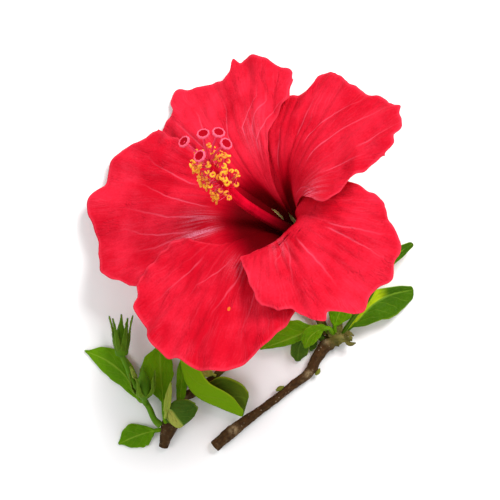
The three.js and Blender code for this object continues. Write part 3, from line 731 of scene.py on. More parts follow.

# The dark of the throat is partly the flower's own dark eye and partly painted shade where a petal dips under
# its neighbour.
# Turns are in degrees from the petal's heading, lengths in mm from the middle of the flower.
# cw, ccw: the turn of each side margin at a length. rim: the length at a turn. throat: where the dark ends.
# folds: turn at foot and rim, length at foot and rim, width, depth. veins: the same four, then strength.
# frost spots: length, turn, their two sizes, strength. Most are a pale bloom; one is a painted highlight.
# The brightness number of each petal is painted light and shade: petals turned away from the lamp are painted
# darker.
petals = [
    {"name": "petalTop", "heading": 100, "cwLift": -1.0, "seed": 3, "finePitch": 5.6,
     "cw": [[0, 2], [5.5, 1], [10, -13], [20, -17], [35, -20], [41, -23], [47, -29], [52, -31.5], [56, -30.2],
            [60, -31.5]],
     "ccw": [[0, 27], [6.5, 27], [8, 20], [12, 20.5], [14, 30], [18, 50], [26, 74], [36, 80], [46, 66],
             [54, 48], [60, 46]],
     "rim": [[-31.5, 58.5], [-29.5, 61], [-27, 62.4], [-24, 63.5], [-19, 67], [-14, 70], [-9, 70],
             [-7, 69.5], [-5, 72.5], [-2, 68], [2, 67], [8, 69], [13, 71], [18, 75], [22, 73.5], [25, 69],
             [35, 67], [46, 55]],
     "throat": [[-16, 11], [-8, 13], [-2, 15], [4, 20], [8, 22.5], [15, 25], [26, 26], [46, 26]],
     "paintedLight": 0.06,
     "folds": [(4, 6, 40, 66, 2.4, -0.5), (14, 20, 42, 70, 3.0, 0.6),
               (-12, -18, 40, 62, 2.6, 0.5), (30, 32, 44, 64, 3.0, -0.5)],
     "frostAndHighlight": [(40, -8, 7, 9, 0.2)],
     "veins": [(27, 27, 50, 64, 0.6), (20, 18, 54, 60, 0.5), (10, 5, 44, 55, 0.7), (-1, -14, 44, 53, 0.9),
               (-8, -19, 43, 51, 0.8), (-10, -30, 37, 51, 0.8)]},
    {"name": "petalUpperRight", "heading": 28, "cwLift": 3.5, "seed": 5,
     "finePitch": 6.2,
     "cw": [[0, -27], [8, -28], [15, -30], [25, -37], [32, -47], [40, -54], [44, -50], [48, -40], [54, -35],
            [60, -32]],
     "ccw": [[0, 58], [6, 60], [11, 72], [20, 80], [30, 76], [38, 67], [46, 54]],
     "rim": [[-32, 60], [-28, 64], [-24, 65], [-21, 68], [-16, 68], [-13, 69], [-9, 67], [-1, 65], [6, 62],
             [19, 62.6], [25, 63.4], [28, 62.8], [31, 60.6], [34, 56.8], [37, 54.4], [41, 53.4], [54, 53]],
     "throat": [[-40, 8], [0, 9], [12, 13], [20, 20], [28, 22], [38, 21.5], [46, 19], [53, 12], [80, 9]],
     "paintedLight": -0.02,
     "folds": [(35, 27, 24, 40, 1.6, -0.9), (2, -9, 35, 64, 3.4, 0.5),
               (18, 6, 42, 60, 3.0, -0.5), (-21, -20, 46, 62, 3.0, -0.6),
               (-11, -14, 54, 66, 2.0, 0.7)],
     # the second pale spot is a painted highlight along the curled, lit margin
     "frostAndHighlight": [(32, -30, 7, 12, 0.1), (34, -46, 4, 8, 0.55)],
     "veins": [(28, 27, 41, 51, 0.7), (18, 4, 40, 59, 0.9), (2, -10, 35, 67, 0.9), (-21, -20, 54, 63, 0.6),
               (-27, -28, 41, 50, 0.7), (46, 44, 29, 36, 0.8), (-10, -45, 21, 35, 0.7)]},
    {"name": "petalLowerRight", "heading": -44, "cwLift": 2.0, "seed": 8,
     "finePitch": 5.4,
     "cw": [[0, -27], [8, -27], [20, -19], [27, -16], [31, -27], [33.4, -50], [35.6, -61], [38, -58],
            [42, -52], [47, -48.5], [52, -45], [56, -43]],
     "ccw": [[0, 30], [6, 38], [11, 60], [18, 72], [26, 66], [34, 54], [42, 44]],
     "rim": [[-43, 56], [-36, 59], [-31, 60], [-28, 64], [-23, 71], [-20, 68], [-15, 74], [-12, 75],
             [-7, 72], [-1, 75], [3, 73], [10, 71], [15, 66], [19, 62], [25, 58], [33, 50], [44, 40]],
     "throat": [[-35, 26], [-20, 27], [-5, 25], [8, 19], [30, 12]], "paintedLight": 0.02, "dip": 1.6, "raised": 2.2,
     "folds": [(-12, -13, 36, 62, 3.0, 0.5), (4, 5, 40, 66, 3.2, -0.6),
               (-24, -28, 36, 58, 2.8, -0.6), (12, 13, 44, 62, 3.0, 0.6)],
     "frostAndHighlight": [(35, -28, 5, 8, 0.16)],
     "veins": [(-12, -13, 39, 61, 0.6), (-21, -28, 34, 51, 0.5), (-22, -33, 32, 40, 0.5), (6, 4, 45, 69, 0.7),
               (9, 12, 44, 64, 0.6)]},
    {"name": "petalBottom", "heading": -116, "cwLift": 0.9, "seed": 11,
     "finePitch": 5.8,
     "cw": [[0, -27], [8, -26], [20, -16], [28, -14], [33, -22], [36, -31], [39.5, -40], [43.3, -47.5],
            [47, -47.5], [56, -43], [61, -39], [64, -35]],
     "ccw": [[0, 29], [6, 33], [11, 50], [20, 62], [34, 60], [50, 48], [58, 45]],
     "rim": [[-35, 64], [-31, 66], [-28, 69.5], [-21, 70.5], [-17, 73], [-8, 75], [-3, 74], [6, 76], [15, 74],
             [20, 71.5], [25, 68], [29, 65], [36, 62], [45, 57]],
     "throat": [[-35, 28], [-16, 29], [0, 31], [10, 33], [30, 33], [52, 28]], "paintedLight": -0.2,
     "speck": (53, 9),
     "folds": [(30, 25, 38, 66, 2.6, 0.9), (16, 12, 36, 66, 2.8, -0.7),
               (-3, -12, 38, 62, 3.0, 0.6), (-22, -24, 40, 66, 3.4, -0.6)],
     "frostAndHighlight": [(36, 8, 5, 12, 0.2)],
     "veins": [(-3, -14, 38, 49, 0.7), (10, 2, 38, 55, 0.7), (-24, -26, 44, 62, 0.5), (22, 16, 42, 60, 0.5)]},
    {"name": "petalLeft", "heading": 172, "cwLift": 0.5, "seed": 14, "finePitch": 5.0,
     "cw": [[0, -46], [9, -46], [14, -46], [22, -40], [36, -36], [50, -40], [58, -40], [68, -38]],
     "ccw": [[0, 29], [7, 34], [13, 62], [20, 84], [32, 90], [44, 80], [52, 58], [62, 43]],
     "rim": [[-38, 67.5], [-36, 69.3], [-33, 70], [-30, 71.8], [-28, 73.5], [-25, 76], [-18, 77.5],
             [-12, 77], [-8, 79.5], [-4, 81], [3, 78], [8, 77], [17, 76], [20, 76], [28, 69], [33, 64.5],
             [42, 57]],
     "throat": [[-46, 27], [-25, 26], [-7, 28], [10, 28], [25, 28], [60, 29]], "paintedLight": -0.1,
     "folds": [(4, 0, 36, 70, 2.8, 0.6), (-12, -16, 40, 70, 3.0, -0.5),
               (20, 14, 36, 66, 2.6, -0.6), (30, 30, 40, 62, 3.0, 0.5)],
     "frostAndHighlight": [(38, 21, 7, 4, 0.9), (37, 9, 6, 7, 0.35)],
     "veins": [(-3, -14, 37, 61, 0.9), (8, -3, 37, 65, 0.9), (17, 6, 44, 66, 0.8), (23, 16, 34, 63, 0.9),
               (-20, -26, 44, 64, 0.6)]},
]


def flowerAxes():
    lean, heading = math.radians(flower["lean"]), math.radians(flower["heading"])
    flat = math.sin(lean)
    forward = np.array([math.cos(heading) * flat, math.sin(heading) * flat, math.cos(lean)])
    level = unit(np.array([0.0, forward[2], -forward[1]]))
    return np.stack([np.cross(level, forward), level, forward])


def inFlower(points):
    return wholeShift + np.array(flower["base"]) + np.asarray(points, float) @ flowerAxes()


settling = {"from": 1.2, "to": 0.3}  # points lower than the first settle towards the second, in mm


def aboveTable(points):
    # low points come to rest just over the table instead of passing through it
    points = np.array(points, float)
    height = points[..., 2]
    room = settling["from"] - settling["to"]
    settled = settling["to"] + room * np.exp((height - settling["from"]) / room)
    points[..., 2] = np.where(height < settling["from"], settled, height)
    return points


def funnelSlope(length, turn):
    limb = flower["limbSlope"] + flower["limbSwing"] * np.cos(np.radians(turn - flower["swingHeading"]))
    start = flower["throatSlope"]
    return np.radians(start + (limb - start) * ease(length, 0, flower["flareLength"]))


def funnelPoint(length, turn, lift):
    steps = 24
    radius, height = flower["clawRadius"], 0.0
    for k in range(steps):
        slope = funnelSlope(length * (k + 0.5) / steps, turn)
        radius = radius + np.sin(slope) * length / steps
        height = height + np.cos(slope) * length / steps
    slope = funnelSlope(length, turn)
    out = radius - lift * np.cos(slope)
    turn = np.radians(turn)
    return np.stack([out * np.cos(turn), out * np.sin(turn), height + lift * np.sin(slope)], -1)


def petalRipple(length, turn):
    turn = np.radians(turn)
    return (0.8 * np.sin(9 * turn + 0.6) + 0.5 * np.sin(17 * turn + 2.1)) * ease(length, 35, 75)


def lineGap(offset, length, footTurn, rimTurn, footLength, rimLength):
    # mm between a point and a line that runs up the petal
    share = np.clip((length - footLength) / (rimLength - footLength), 0, 1)
    return (offset - mix(footTurn, rimTurn, share)) * length * arcPerDegree


def petalLift(petal, across, length, offset, toRim, toSide):
    # how far the sheet stands above the plain funnel
    seed = petal["seed"]
    arc = length * arcPerDegree
    lift = -flower["layerStep"] * np.sin(across * pi / 2) * ease(length, 0, flower["layerEase"])
    lift = lift + petal["cwLift"] * ease(-across, 0.2, 1) * ease(length, 20, 38)
    lift = lift + petalRipple(length, petal["heading"] + offset)
    lift = lift - petal["dip"] * np.exp(-((length - 20) / 9) ** 2) * (1 - ease(offset, -5, 20))
    lift = lift + petal["raised"] * np.exp(-((length - 16) / 9) ** 2) * ease(offset, 12, 34)
    nearRim = 1 - ease(toRim, 0, 15)
    nearSide = (1 - ease(toSide, 0, 7)) * ease(length, 30, 48)
    inLimb = ease(length, 22, 42)
    lift = lift + flower["rimRuffle"] * nearRim * rumple(offset / 13, length / 60, seed + 3, 8)
    lift = lift + flower["sideRuffle"] * nearSide * rumple(length / 9, offset / 90, seed + 4, 8)
    lift = lift + flower["pleats"] * inLimb * rumple(offset / 6.5, length / 70, seed + 5)
    lift = lift + flower["swells"] * inLimb * rumple(offset * arc / 13, length / 30, seed + 6)
    lift = lift + flower["wrinkles"] * inLimb * rumple(offset * arc / 5, length / 12, seed + 7)
    for footTurn, rimTurn, footLength, rimLength, width, depth in petal["folds"]:
        gap = lineGap(offset, length, footTurn, rimTurn, footLength, rimLength)
        fade = 1 - 0.7 * ease(length, rimLength, rimLength + 8)
        fade = fade * ease(length, footLength - 8, footLength + 4)
        lift = lift + depth * np.exp(-(gap / width) ** 2) * fade
    for footTurn, rimTurn, footLength, rimLength, strength in petal["veins"]:
        gap = lineGap(offset, length, footTurn, rimTurn, footLength, rimLength)
        fade = ease(length, footLength - 6, footLength) * (1 - ease(length, rimLength, rimLength + 6))
        lift = lift - flower["veinDepth"] * strength * np.exp(-(gap / flower["veinWidth"]) ** 2) * fade
    return lift


def petalMarks(petal, length, offset, margin):
    # what the petal's skin reads at each point
    # pale spots: mostly a frosty bloom, one a painted highlight
    frostAndHighlight = np.zeros(offset.shape)
    for atLength, atTurn, lengthSize, turnSize, strength in petal["frostAndHighlight"]:
        off = ((length - atLength) / lengthSize) ** 2 + ((offset - atTurn) / turnSize) ** 2
        frostAndHighlight += strength * np.exp(-off)
    # the dark of the throat is partly the flower's own dark eye and partly painted shade where the petal lies
    # under its neighbour
    darkEnd = readCurve(petal["throat"], offset)
    speckLength, speckTurn = petal["speck"]
    speckOff = (offset - speckTurn) * length * arcPerDegree
    return {
        "deep": twice(1 - ease(length, darkEnd - 4, darkEnd + 18)),
        "pollen": twice(np.exp(-((length - speckLength) / 0.8) ** 2 - (speckOff / 0.55) ** 2)),
        "rim": twice((1 - ease(margin, 0, 1.8)) * ease(length, 24, 40)),
        "throat": twice(1 - ease(length, darkEnd - 9, darkEnd + 8)),
        "frostAndHighlight": twice(np.clip(frostAndHighlight, 0, 1)),
        "under": np.repeat([0.0, 1.0], offset.size),
    }


def makePetal(petal):
    petal = {**plainPetal, **petal}
    seed = petal["seed"]
    across = np.linspace(-1, 1, flower["rows"])[:, None]
    along = np.linspace(0, 1, flower["columns"])[None, :] ** 0.94
    share = (across + 1) / 2
    rimTurn = mix(petal["cw"][-1][1], petal["ccw"][-1][1], share)
    reach = readCurve(petal["rim"], rimTurn) + flower["rimWave"] * rumple(rimTurn / 6, 0, seed)
    length = mix(flower["petalStart"], reach, along)
    wave = flower["sideWave"] * ease(length, 20, 40)
    cwTurn = readCurve(petal["cw"], length) + wave * rumple(length / 8, 0, seed + 1)
    ccwTurn = readCurve(petal["ccw"], length) + wave * rumple(length / 8, 0, seed + 2)
    offset = mix(cwTurn, ccwTurn, share)
    toRim = reach - length
    toSide = (1 - np.abs(across)) * (ccwTurn - cwTurn) / 2 * length * arcPerDegree
    margin = np.minimum(toRim, toSide)
    lift = petalLift(petal, across, length, offset, toRim, toSide)
    middle = aboveTable(inFlower(funnelPoint(length, petal["heading"] + offset, lift)))
    wall = mix(flower["rimWall"], flower["petalWall"], ease(margin, 0, 2.5))
    points, faces = shell(middle, wall)
    uv = np.stack([twice(offset / 100), twice(length / 100)], 1)
    marks = petalMarks(petal, length, offset, margin)
    makePiece(petal["name"], points, faces, petalSkin(petal), [nodeName(petal["name"])], uv, marks)


# Places are in the flower's own axes, in mm from the middle of its base.
column = {
    "line": [[0, 0, -0.4], [-1.3, 0.1, 6], [-3.2, -0.1, 13], [-4.2, -1.2, 24], [-4.6, -1.7, 34],
             [-4.2, -1, 44], [-2, -0.4, 56]],
    "radii": [2.1, 1.9, 1.8, 1.7, 1.45, 1.15],
    "stamens": 92,
    "first": 0.67,        # share of the column's length where the stamens start
    "last": 0.99,
    "reach": 7.2,
    "filament": 0.17,
    "anther": 2.15,
    "stigmas": [[-7.3, 5.5, 62], [2.3, 2.8, 65], [8.2, 0.9, 65], [9.7, -2.9, 63], [1.9, -6.5, 66]],
    "styleTurn": 150,     # where round the column the first style comes out, in degrees
    "styleRadius": 0.44,
    "styleRing": 0.75,
    "padRadius": 2.1,
    "padHeight": 0.5,
    "hairs": 900,
    "hairLength": 0.24,
    "hairRadius": 0.05,
}


def columnPath(count):
    return inFlower(smoothPath(column["line"], count))


def makeColumn():
    count, sides = 150, 40
    path = columnPath(count)
    share = np.linspace(0, 1, count)
    radii = readEven(column["radii"], share) * (1 - 0.35 * ease(share, 0.985, 1))
    turn = np.arange(sides) * 2 * pi / sides
    ridges = 0.045 * np.cos(5 * turn)[None, :] * (1 - ease(share, 0.5, 0.8))[:, None]
    lumps = 0.05 * rumple(np.cos(turn)[None, :] + share[:, None] * 9, np.sin(turn)[None, :], 21)
    points, faces, uv = tube(path, radii, sides, ridges + lumps * ease(share, 0.5, 0.7)[:, None])
    skin = columnSkin("columnSkin", paint(230, 6, 46), paint(184, 0, 28), 0.42)
    makePiece("columnTube", points, faces, skin, ["staminal_column"], uv)


def columnSkin(name, light, dark, roughness):
    material, tree, shader = newMaterial(name, roughness, Specular_IOR_Level=0.2)
    skin = skinPlace(tree)
    along = addNode(tree, "ShaderNodeSeparateXYZ", {0: skin}).outputs["Y"]
    links = {"Vector": objectPlace(tree), "Scale": 220.0, "Contrast": 0.3}
    colour = mixColour(tree, useGroup(tree, mottle, links).outputs[0], dark, light)
    colour = mixColour(tree, inverse(tree, mask(tree, along, 0.15, 0.58)), colour, paint(112, 0, 14))
    tree.links.new(colour, shader.inputs["Base Color"])
    lines = noise(tree, skin, 1.0, 3.0, (26.0, 9.0, 1.0))
    tree.links.new(bump(tree, lines, 0.5, 0.2), shader.inputs["Normal"])
    return material


def filamentShape(tree, radius):
    # a thin bent thread, one unit long
    bend = addNode(tree, "GeometryNodeCurveQuadraticBezier",
                   {"Resolution": 7, "Start": (0, 0, 0), "Middle": (0.1, 0, 0.55), "End": (0, 0, 1)})
    links = {"Curve": bend.outputs[0], "Profile Curve": circle(tree, 7, radius), "Fill Caps": True}
    return addNode(tree, "GeometryNodeCurveToMesh", links).outputs[0]


def antherShape(tree):
    # an open hoop that is thickest halfway, one unit across
    hoop = addNode(tree, "GeometryNodeCurveArc", {"Resolution": 13, "Radius": 0.33, "Sweep Angle": 4.6},
                   mode="RADIUS").outputs["Curve"]
    along = addNode(tree, "GeometryNodeSplineParameter").outputs["Factor"]
    swell = calc(tree, "SINE", times(tree, along, pi))
    swell = calc(tree, "MULTIPLY_ADD", calc(tree, "POWER", swell, 0.35), 0.85, 0.15)
    links = {"Curve": hoop, "Profile Curve": circle(tree, 8, 0.19), "Scale": swell, "Fill Caps": True}
    return addNode(tree, "GeometryNodeCurveToMesh", links).outputs[0]


def dustWithPollen(tree, anthers):
    toned = addNode(tree, "GeometryNodeStoreNamedAttribute",
                    {"Geometry": anthers, "Name": "tone", "Value": chance(tree, 0, 1, 6)},
                    data_type="FLOAT", domain="INSTANCE")
    whole = addNode(tree, "GeometryNodeRealizeInstances", {0: toned.outputs[0]}).outputs[0]
    grain = addNode(tree, "GeometryNodeMeshIcoSphere", {"Radius": 0.00008, "Subdivisions": 1}).outputs[0]
    dust = putCopies(tree, scatter(tree, whole, 5.0e6, 9)[0], grain)
    joined = addNode(tree, "GeometryNodeJoinGeometry")
    tree.links.new(whole, joined.inputs[0])
    tree.links.new(dust, joined.inputs[0])
    return joined.outputs[0]


def buildStamens():
    # stamens wind round a path, lean outwards and get shorter towards its end
    inputs = [("Count", "Int", 60), ("First", "Float", 0.6), ("Last", "Float", 1.0),
              ("Reach", "Float", 0.005), ("Thickness", "Float", 0.0002), ("Anther Size", "Float", 0.0019),
              ("Anthers", "Bool", False), ("Skin", "Material", None)]
    tree, given, result = newTree("stamens", inputs)
    take = given.outputs
    path = addNode(tree, "GeometryNodeMeshToCurve", {"Mesh": take["Geometry"]}).outputs[0]
    number = addNode(tree, "GeometryNodeInputIndex").outputs[0]
    share = calc(tree, "DIVIDE", calc(tree, "ADD", number, 0.5), take["Count"])
    span = calc(tree, "SUBTRACT", take["Last"], take["First"])
    spread = calc(tree, "MULTIPLY_ADD", share, span, take["First"])
    onPath = addNode(tree, "GeometryNodeSampleCurve", {"Curves": path, "Factor": spread}, mode="FACTOR",
                     use_all_curves=True)
    tangent, normal = onPath.outputs["Tangent"], onPath.outputs["Normal"]
    winding = 2.39996  # the golden angle, in radians
    angle = calc(tree, "ADD", times(tree, number, winding), chance(tree, -0.35, 0.35, 1))
    out = addNode(tree, "ShaderNodeVectorRotate", {"Vector": normal, "Axis": tangent, "Angle": angle},
                  rotation_type="AXIS_ANGLE").outputs[0]
    rise = calc(tree, "MULTIPLY_ADD", share, 0.55, chance(tree, 0.0, 0.45, 2))
    rising = scaleVector(tree, tangent, rise)
    leaning = vecCalc(tree, "ADD", vecCalc(tree, "ADD", out, rising), (-0.4, -0.06, 0.0))
    direction = vecCalc(tree, "NORMALIZE", leaning)
    hump = calc(tree, "MULTIPLY_ADD", times(tree, share, share), -1.05,
                calc(tree, "MULTIPLY_ADD", share, 1.1, 0.74))
    length = times(tree, take["Reach"], times(tree, hump, chance(tree, 0.78, 1.12, 3)))

    links = {"Count": take["Count"], "Position": onPath.outputs["Position"]}
    points = addNode(tree, "GeometryNodePoints", links).outputs[0]
    upright = addNode(tree, "FunctionNodeAlignRotationToVector", {"Vector": direction}, axis="Z").outputs[0]
    turned = turnBy(tree, upright, (0, 0, 1), chance(tree, 0, 6.28, 4))
    thin = calc(tree, "DIVIDE", take["Thickness"], take["Reach"])
    filaments = putCopies(tree, points, filamentShape(tree, thin), Rotation=turned,
                          Scale=evenScale(tree, length))

    links = {"Geometry": points, "Offset": scaleVector(tree, direction, length)}
    tips = addNode(tree, "GeometryNodeSetPosition", links).outputs[0]
    tilted = turnBy(tree, turned, (1, 0, 0), chance(tree, -1.2, 1.2, 7))
    wide = times(tree, take["Anther Size"], chance(tree, 0.8, 1.15, 5))
    anthers = putCopies(tree, tips, antherShape(tree), Rotation=tilted, Scale=evenScale(tree, wide))
    links = {"Switch": take["Anthers"], "False": filaments, "True": dustWithPollen(tree, anthers)}
    pick = addNode(tree, "GeometryNodeSwitch", links, input_type="GEOMETRY")
    finishTree(tree, pick.outputs[0], take["Skin"], result)
    return tree


def finishTree(tree, geometry, skin, result):
    whole = addNode(tree, "GeometryNodeRealizeInstances", {0: geometry})
    smooth = addNode(tree, "GeometryNodeSetShadeSmooth", {0: whole.outputs[0]})
    covered = addNode(tree, "GeometryNodeSetMaterial", {"Geometry": smooth.outputs[0], "Material": skin})
    tree.links.new(covered.outputs[0], result.inputs["Geometry"])


def pathMesh(name, path):
    mesh = bpy.data.meshes.new(name)
    mesh.from_pydata((path * mm).tolist(), [(i, i + 1) for i in range(len(path) - 1)], [])
    return mesh


def makeStamens():
    tree = buildStamens()
    filamentSkin = fleshSkin("filamentSkin", paint(240, 70, 104), paint(214, 12, 56), 0.4, 500.0)
    values = {"Count": column["stamens"], "First": column["first"], "Last": column["last"],
              "Reach": column["reach"] * mm, "Thickness": column["filament"] * mm,
              "Anther Size": column["anther"] * mm}
    for name, slot, skin in (("filaments", "column", filamentSkin), ("anthers", "anther", antherSkin())):
        values.update({"Anthers": name == "anthers", "Skin": skin})
        growPiece(name, tree, pathMesh("columnPath", columnPath(60)), values)


def antherSkin():
    material, tree, shader = newMaterial("antherSkin", 0.7, Specular_IOR_Level=0.25, Sheen_Weight=0.15)
    tone = readMark(tree, "tone")
    grain = noise(tree, objectPlace(tree), 2400.0, 3.0)
    colour = mixColour(tree, mask(tree, tone, 0.1, 0.9), paint(226, 112, 14), paint(242, 172, 22))
    colour = mixColour(tree, times(tree, mask(tree, grain, 0.4, 0.75), 0.6), colour,
                       paint(255, 214, 74))
    tree.links.new(colour, shader.inputs["Base Color"])
    tree.links.new(bump(tree, grain, 0.7, 0.12), shader.inputs["Normal"])
    return material


def stylePath(i, count):
    tip = np.array(column["line"][-1], float)
    turn = math.radians(column["styleTurn"] - 360 / len(column["stigmas"]) * i)
    root = tip + column["styleRing"] * np.array([math.cos(turn), math.sin(turn), 0]) - [0, 0, 0.85]
    head = np.array(column["stigmas"][i], float)
    middle = (root + head) / 2 + [0, 0, 1.0]
    return inFlower(smoothPath([root, middle, head], count))


def padRings(place, facing, sides=36):
    # a soft round cushion with a raised rim and a shallow dimple
    side = unit(np.cross(facing, [0.2, 1.0, 0.1]))
    other = np.cross(facing, side)
    turn = np.arange(sides) * 2 * pi / sides
    around = np.cos(turn)[:, None] * side + np.sin(turn)[:, None] * other
    radius, height = column["padRadius"], column["padHeight"] * column["padRadius"]
    profile = [(0.2, -0.86), (0.5, -0.8), (0.76, -0.6), (0.93, -0.25), (1.0, 0.12), (0.98, 0.42),
               (0.92, 0.6), (0.83, 0.66), (0.76, 0.6), (0.7, 0.5), (0.5, 0.44), (0.25, 0.42), (0.06, 0.42)]
    knobs = 1 + 0.05 * np.cos(9 * turn + 0.7)[:, None]
    rings = [place + around * (out * radius) * knobs + facing * (up * height) for out, up in profile]
    poles = [place + facing * (profile[0][1] * height), place + facing * (profile[-1][1] * height)]
    dark = np.array([1.0 - min(1.0, max(0.0, (out - 0.7) / 0.1)) if up > 0.4 else 0.0 for out, up in profile])
    return np.array(rings), poles, dark


def buildFuzz():
    inputs = [("Count", "Int", 800), ("Length", "Float", 0.0004), ("Thickness", "Float", 0.00006),
              ("Skin", "Material", None)]
    tree, given, result = newTree("fuzz", inputs)
    take = given.outputs
    roots = scatter(tree, take["Geometry"], 9.0e6, 4)
    number = addNode(tree, "GeometryNodeInputIndex").outputs[0]
    keep = calc(tree, "LESS_THAN", number, take["Count"])
    hair = addNode(tree, "GeometryNodeMeshCone", {"Vertices": 5, "Radius Top": 0.0,
                                                  "Radius Bottom": take["Thickness"],
                                                  "Depth": take["Length"]}).outputs[0]
    hairs = putCopies(tree, roots[0], hair, Selection=keep, Rotation=roots["Rotation"])
    finishTree(tree, hairs, take["Skin"], result)
    return tree


def stigmaSkin():
    material, tree, shader = newMaterial("stigmaSkin", 0.6, Specular_IOR_Level=0.03)
    place = objectPlace(tree)
    grain = noise(tree, place, 1800.0, 3.0)
    colour = mixColour(tree, grain, paint(232, 72, 102), paint(246, 118, 142))
    colour = mixColour(tree, readMark(tree, "centre"), colour, paint(160, 0, 20))
    stalk = readMark(tree, "stalk")
    colour = mixColour(tree, stalk, colour, paint(236, 58, 92))
    tree.links.new(colour, shader.inputs["Base Color"])
    knobs = times(tree, grain, inverse(tree, stalk))
    tree.links.new(bump(tree, knobs, 0.6, 0.1), shader.inputs["Normal"])
    return material


def makeStyles():
    skin = stigmaSkin()
    count, padRims = 40, []
    share = np.linspace(0, 1, count)
    radii = column["styleRadius"] * (1 + 0.5 * ease(share, 0.8, 1))
    for i in range(len(column["stigmas"])):
        path = stylePath(i, count)
        points, faces, uv = tube(path, radii, 12)
        ahead = unit(path[-1] - path[-4])
        outward = unit((path[-1] - path[0]) * np.array([1.0, 1.0, 0.0]))
        facing = unit(outward * 0.62 + ahead * 0.1 + np.array([0.0, 0.0, 0.72]))
        rings, poles, dark = padRings(path[-1], facing)
        padPoints, padFaces, padUv = closedRings(rings, poles[0], poles[1])
        stalkCount = len(points)
        centre = np.concatenate([np.zeros(stalkCount), np.repeat(dark, rings.shape[1]), [0, 1]])
        stalk = np.concatenate([np.ones(stalkCount), np.zeros(len(padPoints))])
        faces += [[v + stalkCount for v in face] for face in padFaces]
        makePiece("style%d" % (i + 1), np.vstack([points, padPoints]), faces, skin,
                  ["style_arm_%d" % (i + 1)], np.vstack([uv, padUv]), {"centre": centre, "stalk": stalk})
        padRims.append(rings[3:8])

    rimFaces = []
    for i, (rows, columns) in enumerate(rim.shape[:2] for rim in padRims):
        rimFaces += gridFaces(rows, columns, i * rows * columns)
    mesh = bpy.data.meshes.new("padRims")
    mesh.from_pydata((np.concatenate(padRims).reshape(-1, 3) * mm).tolist(), [], rimFaces)
    hairSkin = fleshSkin("hairSkin", paint(240, 120, 146), paint(232, 84, 114), 0.6, 900.0,
                         Specular_IOR_Level=0.1)
    values = {"Count": column["hairs"], "Length": column["hairLength"] * mm,
              "Thickness": column["hairRadius"] * mm, "Skin": hairSkin}
    growPiece("stigmaHairs", buildFuzz(), mesh, values)


greens = {
    "stem": paint(96, 146, 14),
    "stemDark": paint(64, 112, 6),
    "ripe": paint(124, 118, 48),
    "calyx": paint(126, 166, 40),
    "calyxDark": paint(84, 128, 22),
    # the lining is painted pale as painted light, since the inside of the calyx lies in shade
    "paintedLitLining": paint(238, 246, 150),
    "bud": paint(92, 136, 14),
    "budDark": paint(58, 100, 6),
}

# A cup that opens into lobes; bractReach is how far each point of a bract lies out and up, in mm.
calyx = {"wall": 0.8, "cup": 9.0, "lobe": 10.0, "lobes": 5, "heading": 64.0, "depth": 6.0, "inside": 1.6,
         "foot": 0.35, "footOut": 0.65, "footIn": 0.85, "gap": 0.35, "bracts": 7,
         "bractReach": [[3.1, -5.7], [6.1, -2.9], [9.2, 2.6], [11.2, 8.4]]}


def calyxRings(shares, outside, sides):
    turn = np.arange(sides)[None, :] * 360 / sides
    shares = np.array(shares)[:, None]
    lobe = np.abs(np.cos(np.radians(calyx["lobes"] * (turn - calyx["heading"]) / 2))) ** 1.6
    length = shares * (calyx["cup"] + calyx["lobe"] * lobe)
    lift = -(calyx["gap"] * 2 + flower["layerStep"] * ease(length, 0, flower["layerEase"]))
    if outside:
        ridge = 0.14 * np.abs(np.cos(np.radians(5 * (turn - calyx["heading"])))) ** 3
        lift = lift - calyx["wall"] * (1 - 0.75 * ease(shares, 0.7, 1)) - ridge * (1 - ease(shares, 0.6, 1))
    points = funnelPoint(length, turn, lift)
    foot = 1 - ease(shares, 0, calyx["foot"])
    narrow = mix(1, calyx["footOut"] if outside else calyx["footIn"], foot)
    points[..., :2] *= narrow[..., None]
    points[..., 2] -= foot * (calyx["depth"] - 0.9 if outside else calyx["inside"])
    return inFlower(points)


def makeCalyx():
    sides = 100
    outer = calyxRings(np.linspace(0, 1, 40), True, sides)
    inner = calyxRings(np.linspace(1, 0, 40), False, sides)
    rings = np.concatenate([outer, inner])
    top, bottom = inFlower([[0, 0, -calyx["inside"]]])[0], inFlower([[0, 0, -calyx["depth"]]])[0]
    points, faces, uv = closedRings(rings, bottom, top)
    skin = fleshSkin("calyxSkin", greens["calyx"], greens["calyxDark"], 0.5, 110.0, 0.2, greens["paintedLitLining"],
                     Sheen_Weight=0.12)
    inside = np.zeros(len(points))
    inside[outer[..., 0].size:] = 1
    makePiece("calyxCup", points, faces, skin, ["calyx"], uv, {"inside": inside})


# What every blade has where its own entry says nothing else; right is as left where it isn't given.
# rib: the path of the midrib in mm. left, right: widths in mm at even steps from foot to tip.
plainBlade = {
    "up": (0, 0, 1),
    "shift": wholeShift,
    "bladeFrom": 0.15,    # share of the rib that is stalk
    "stalk": 0.8,
    "wall": 0.42,
    "ribHeight": 0.35,
    "frill": 0.035,
    "wave": 0.35,
    "bowl": -14.0,        # degrees that each half bends downwards
    "pale": (0, 0),       # how pale the left and the right half are
    "paleTo": 2.0,
    "extra": False,       # stands in for no node
}


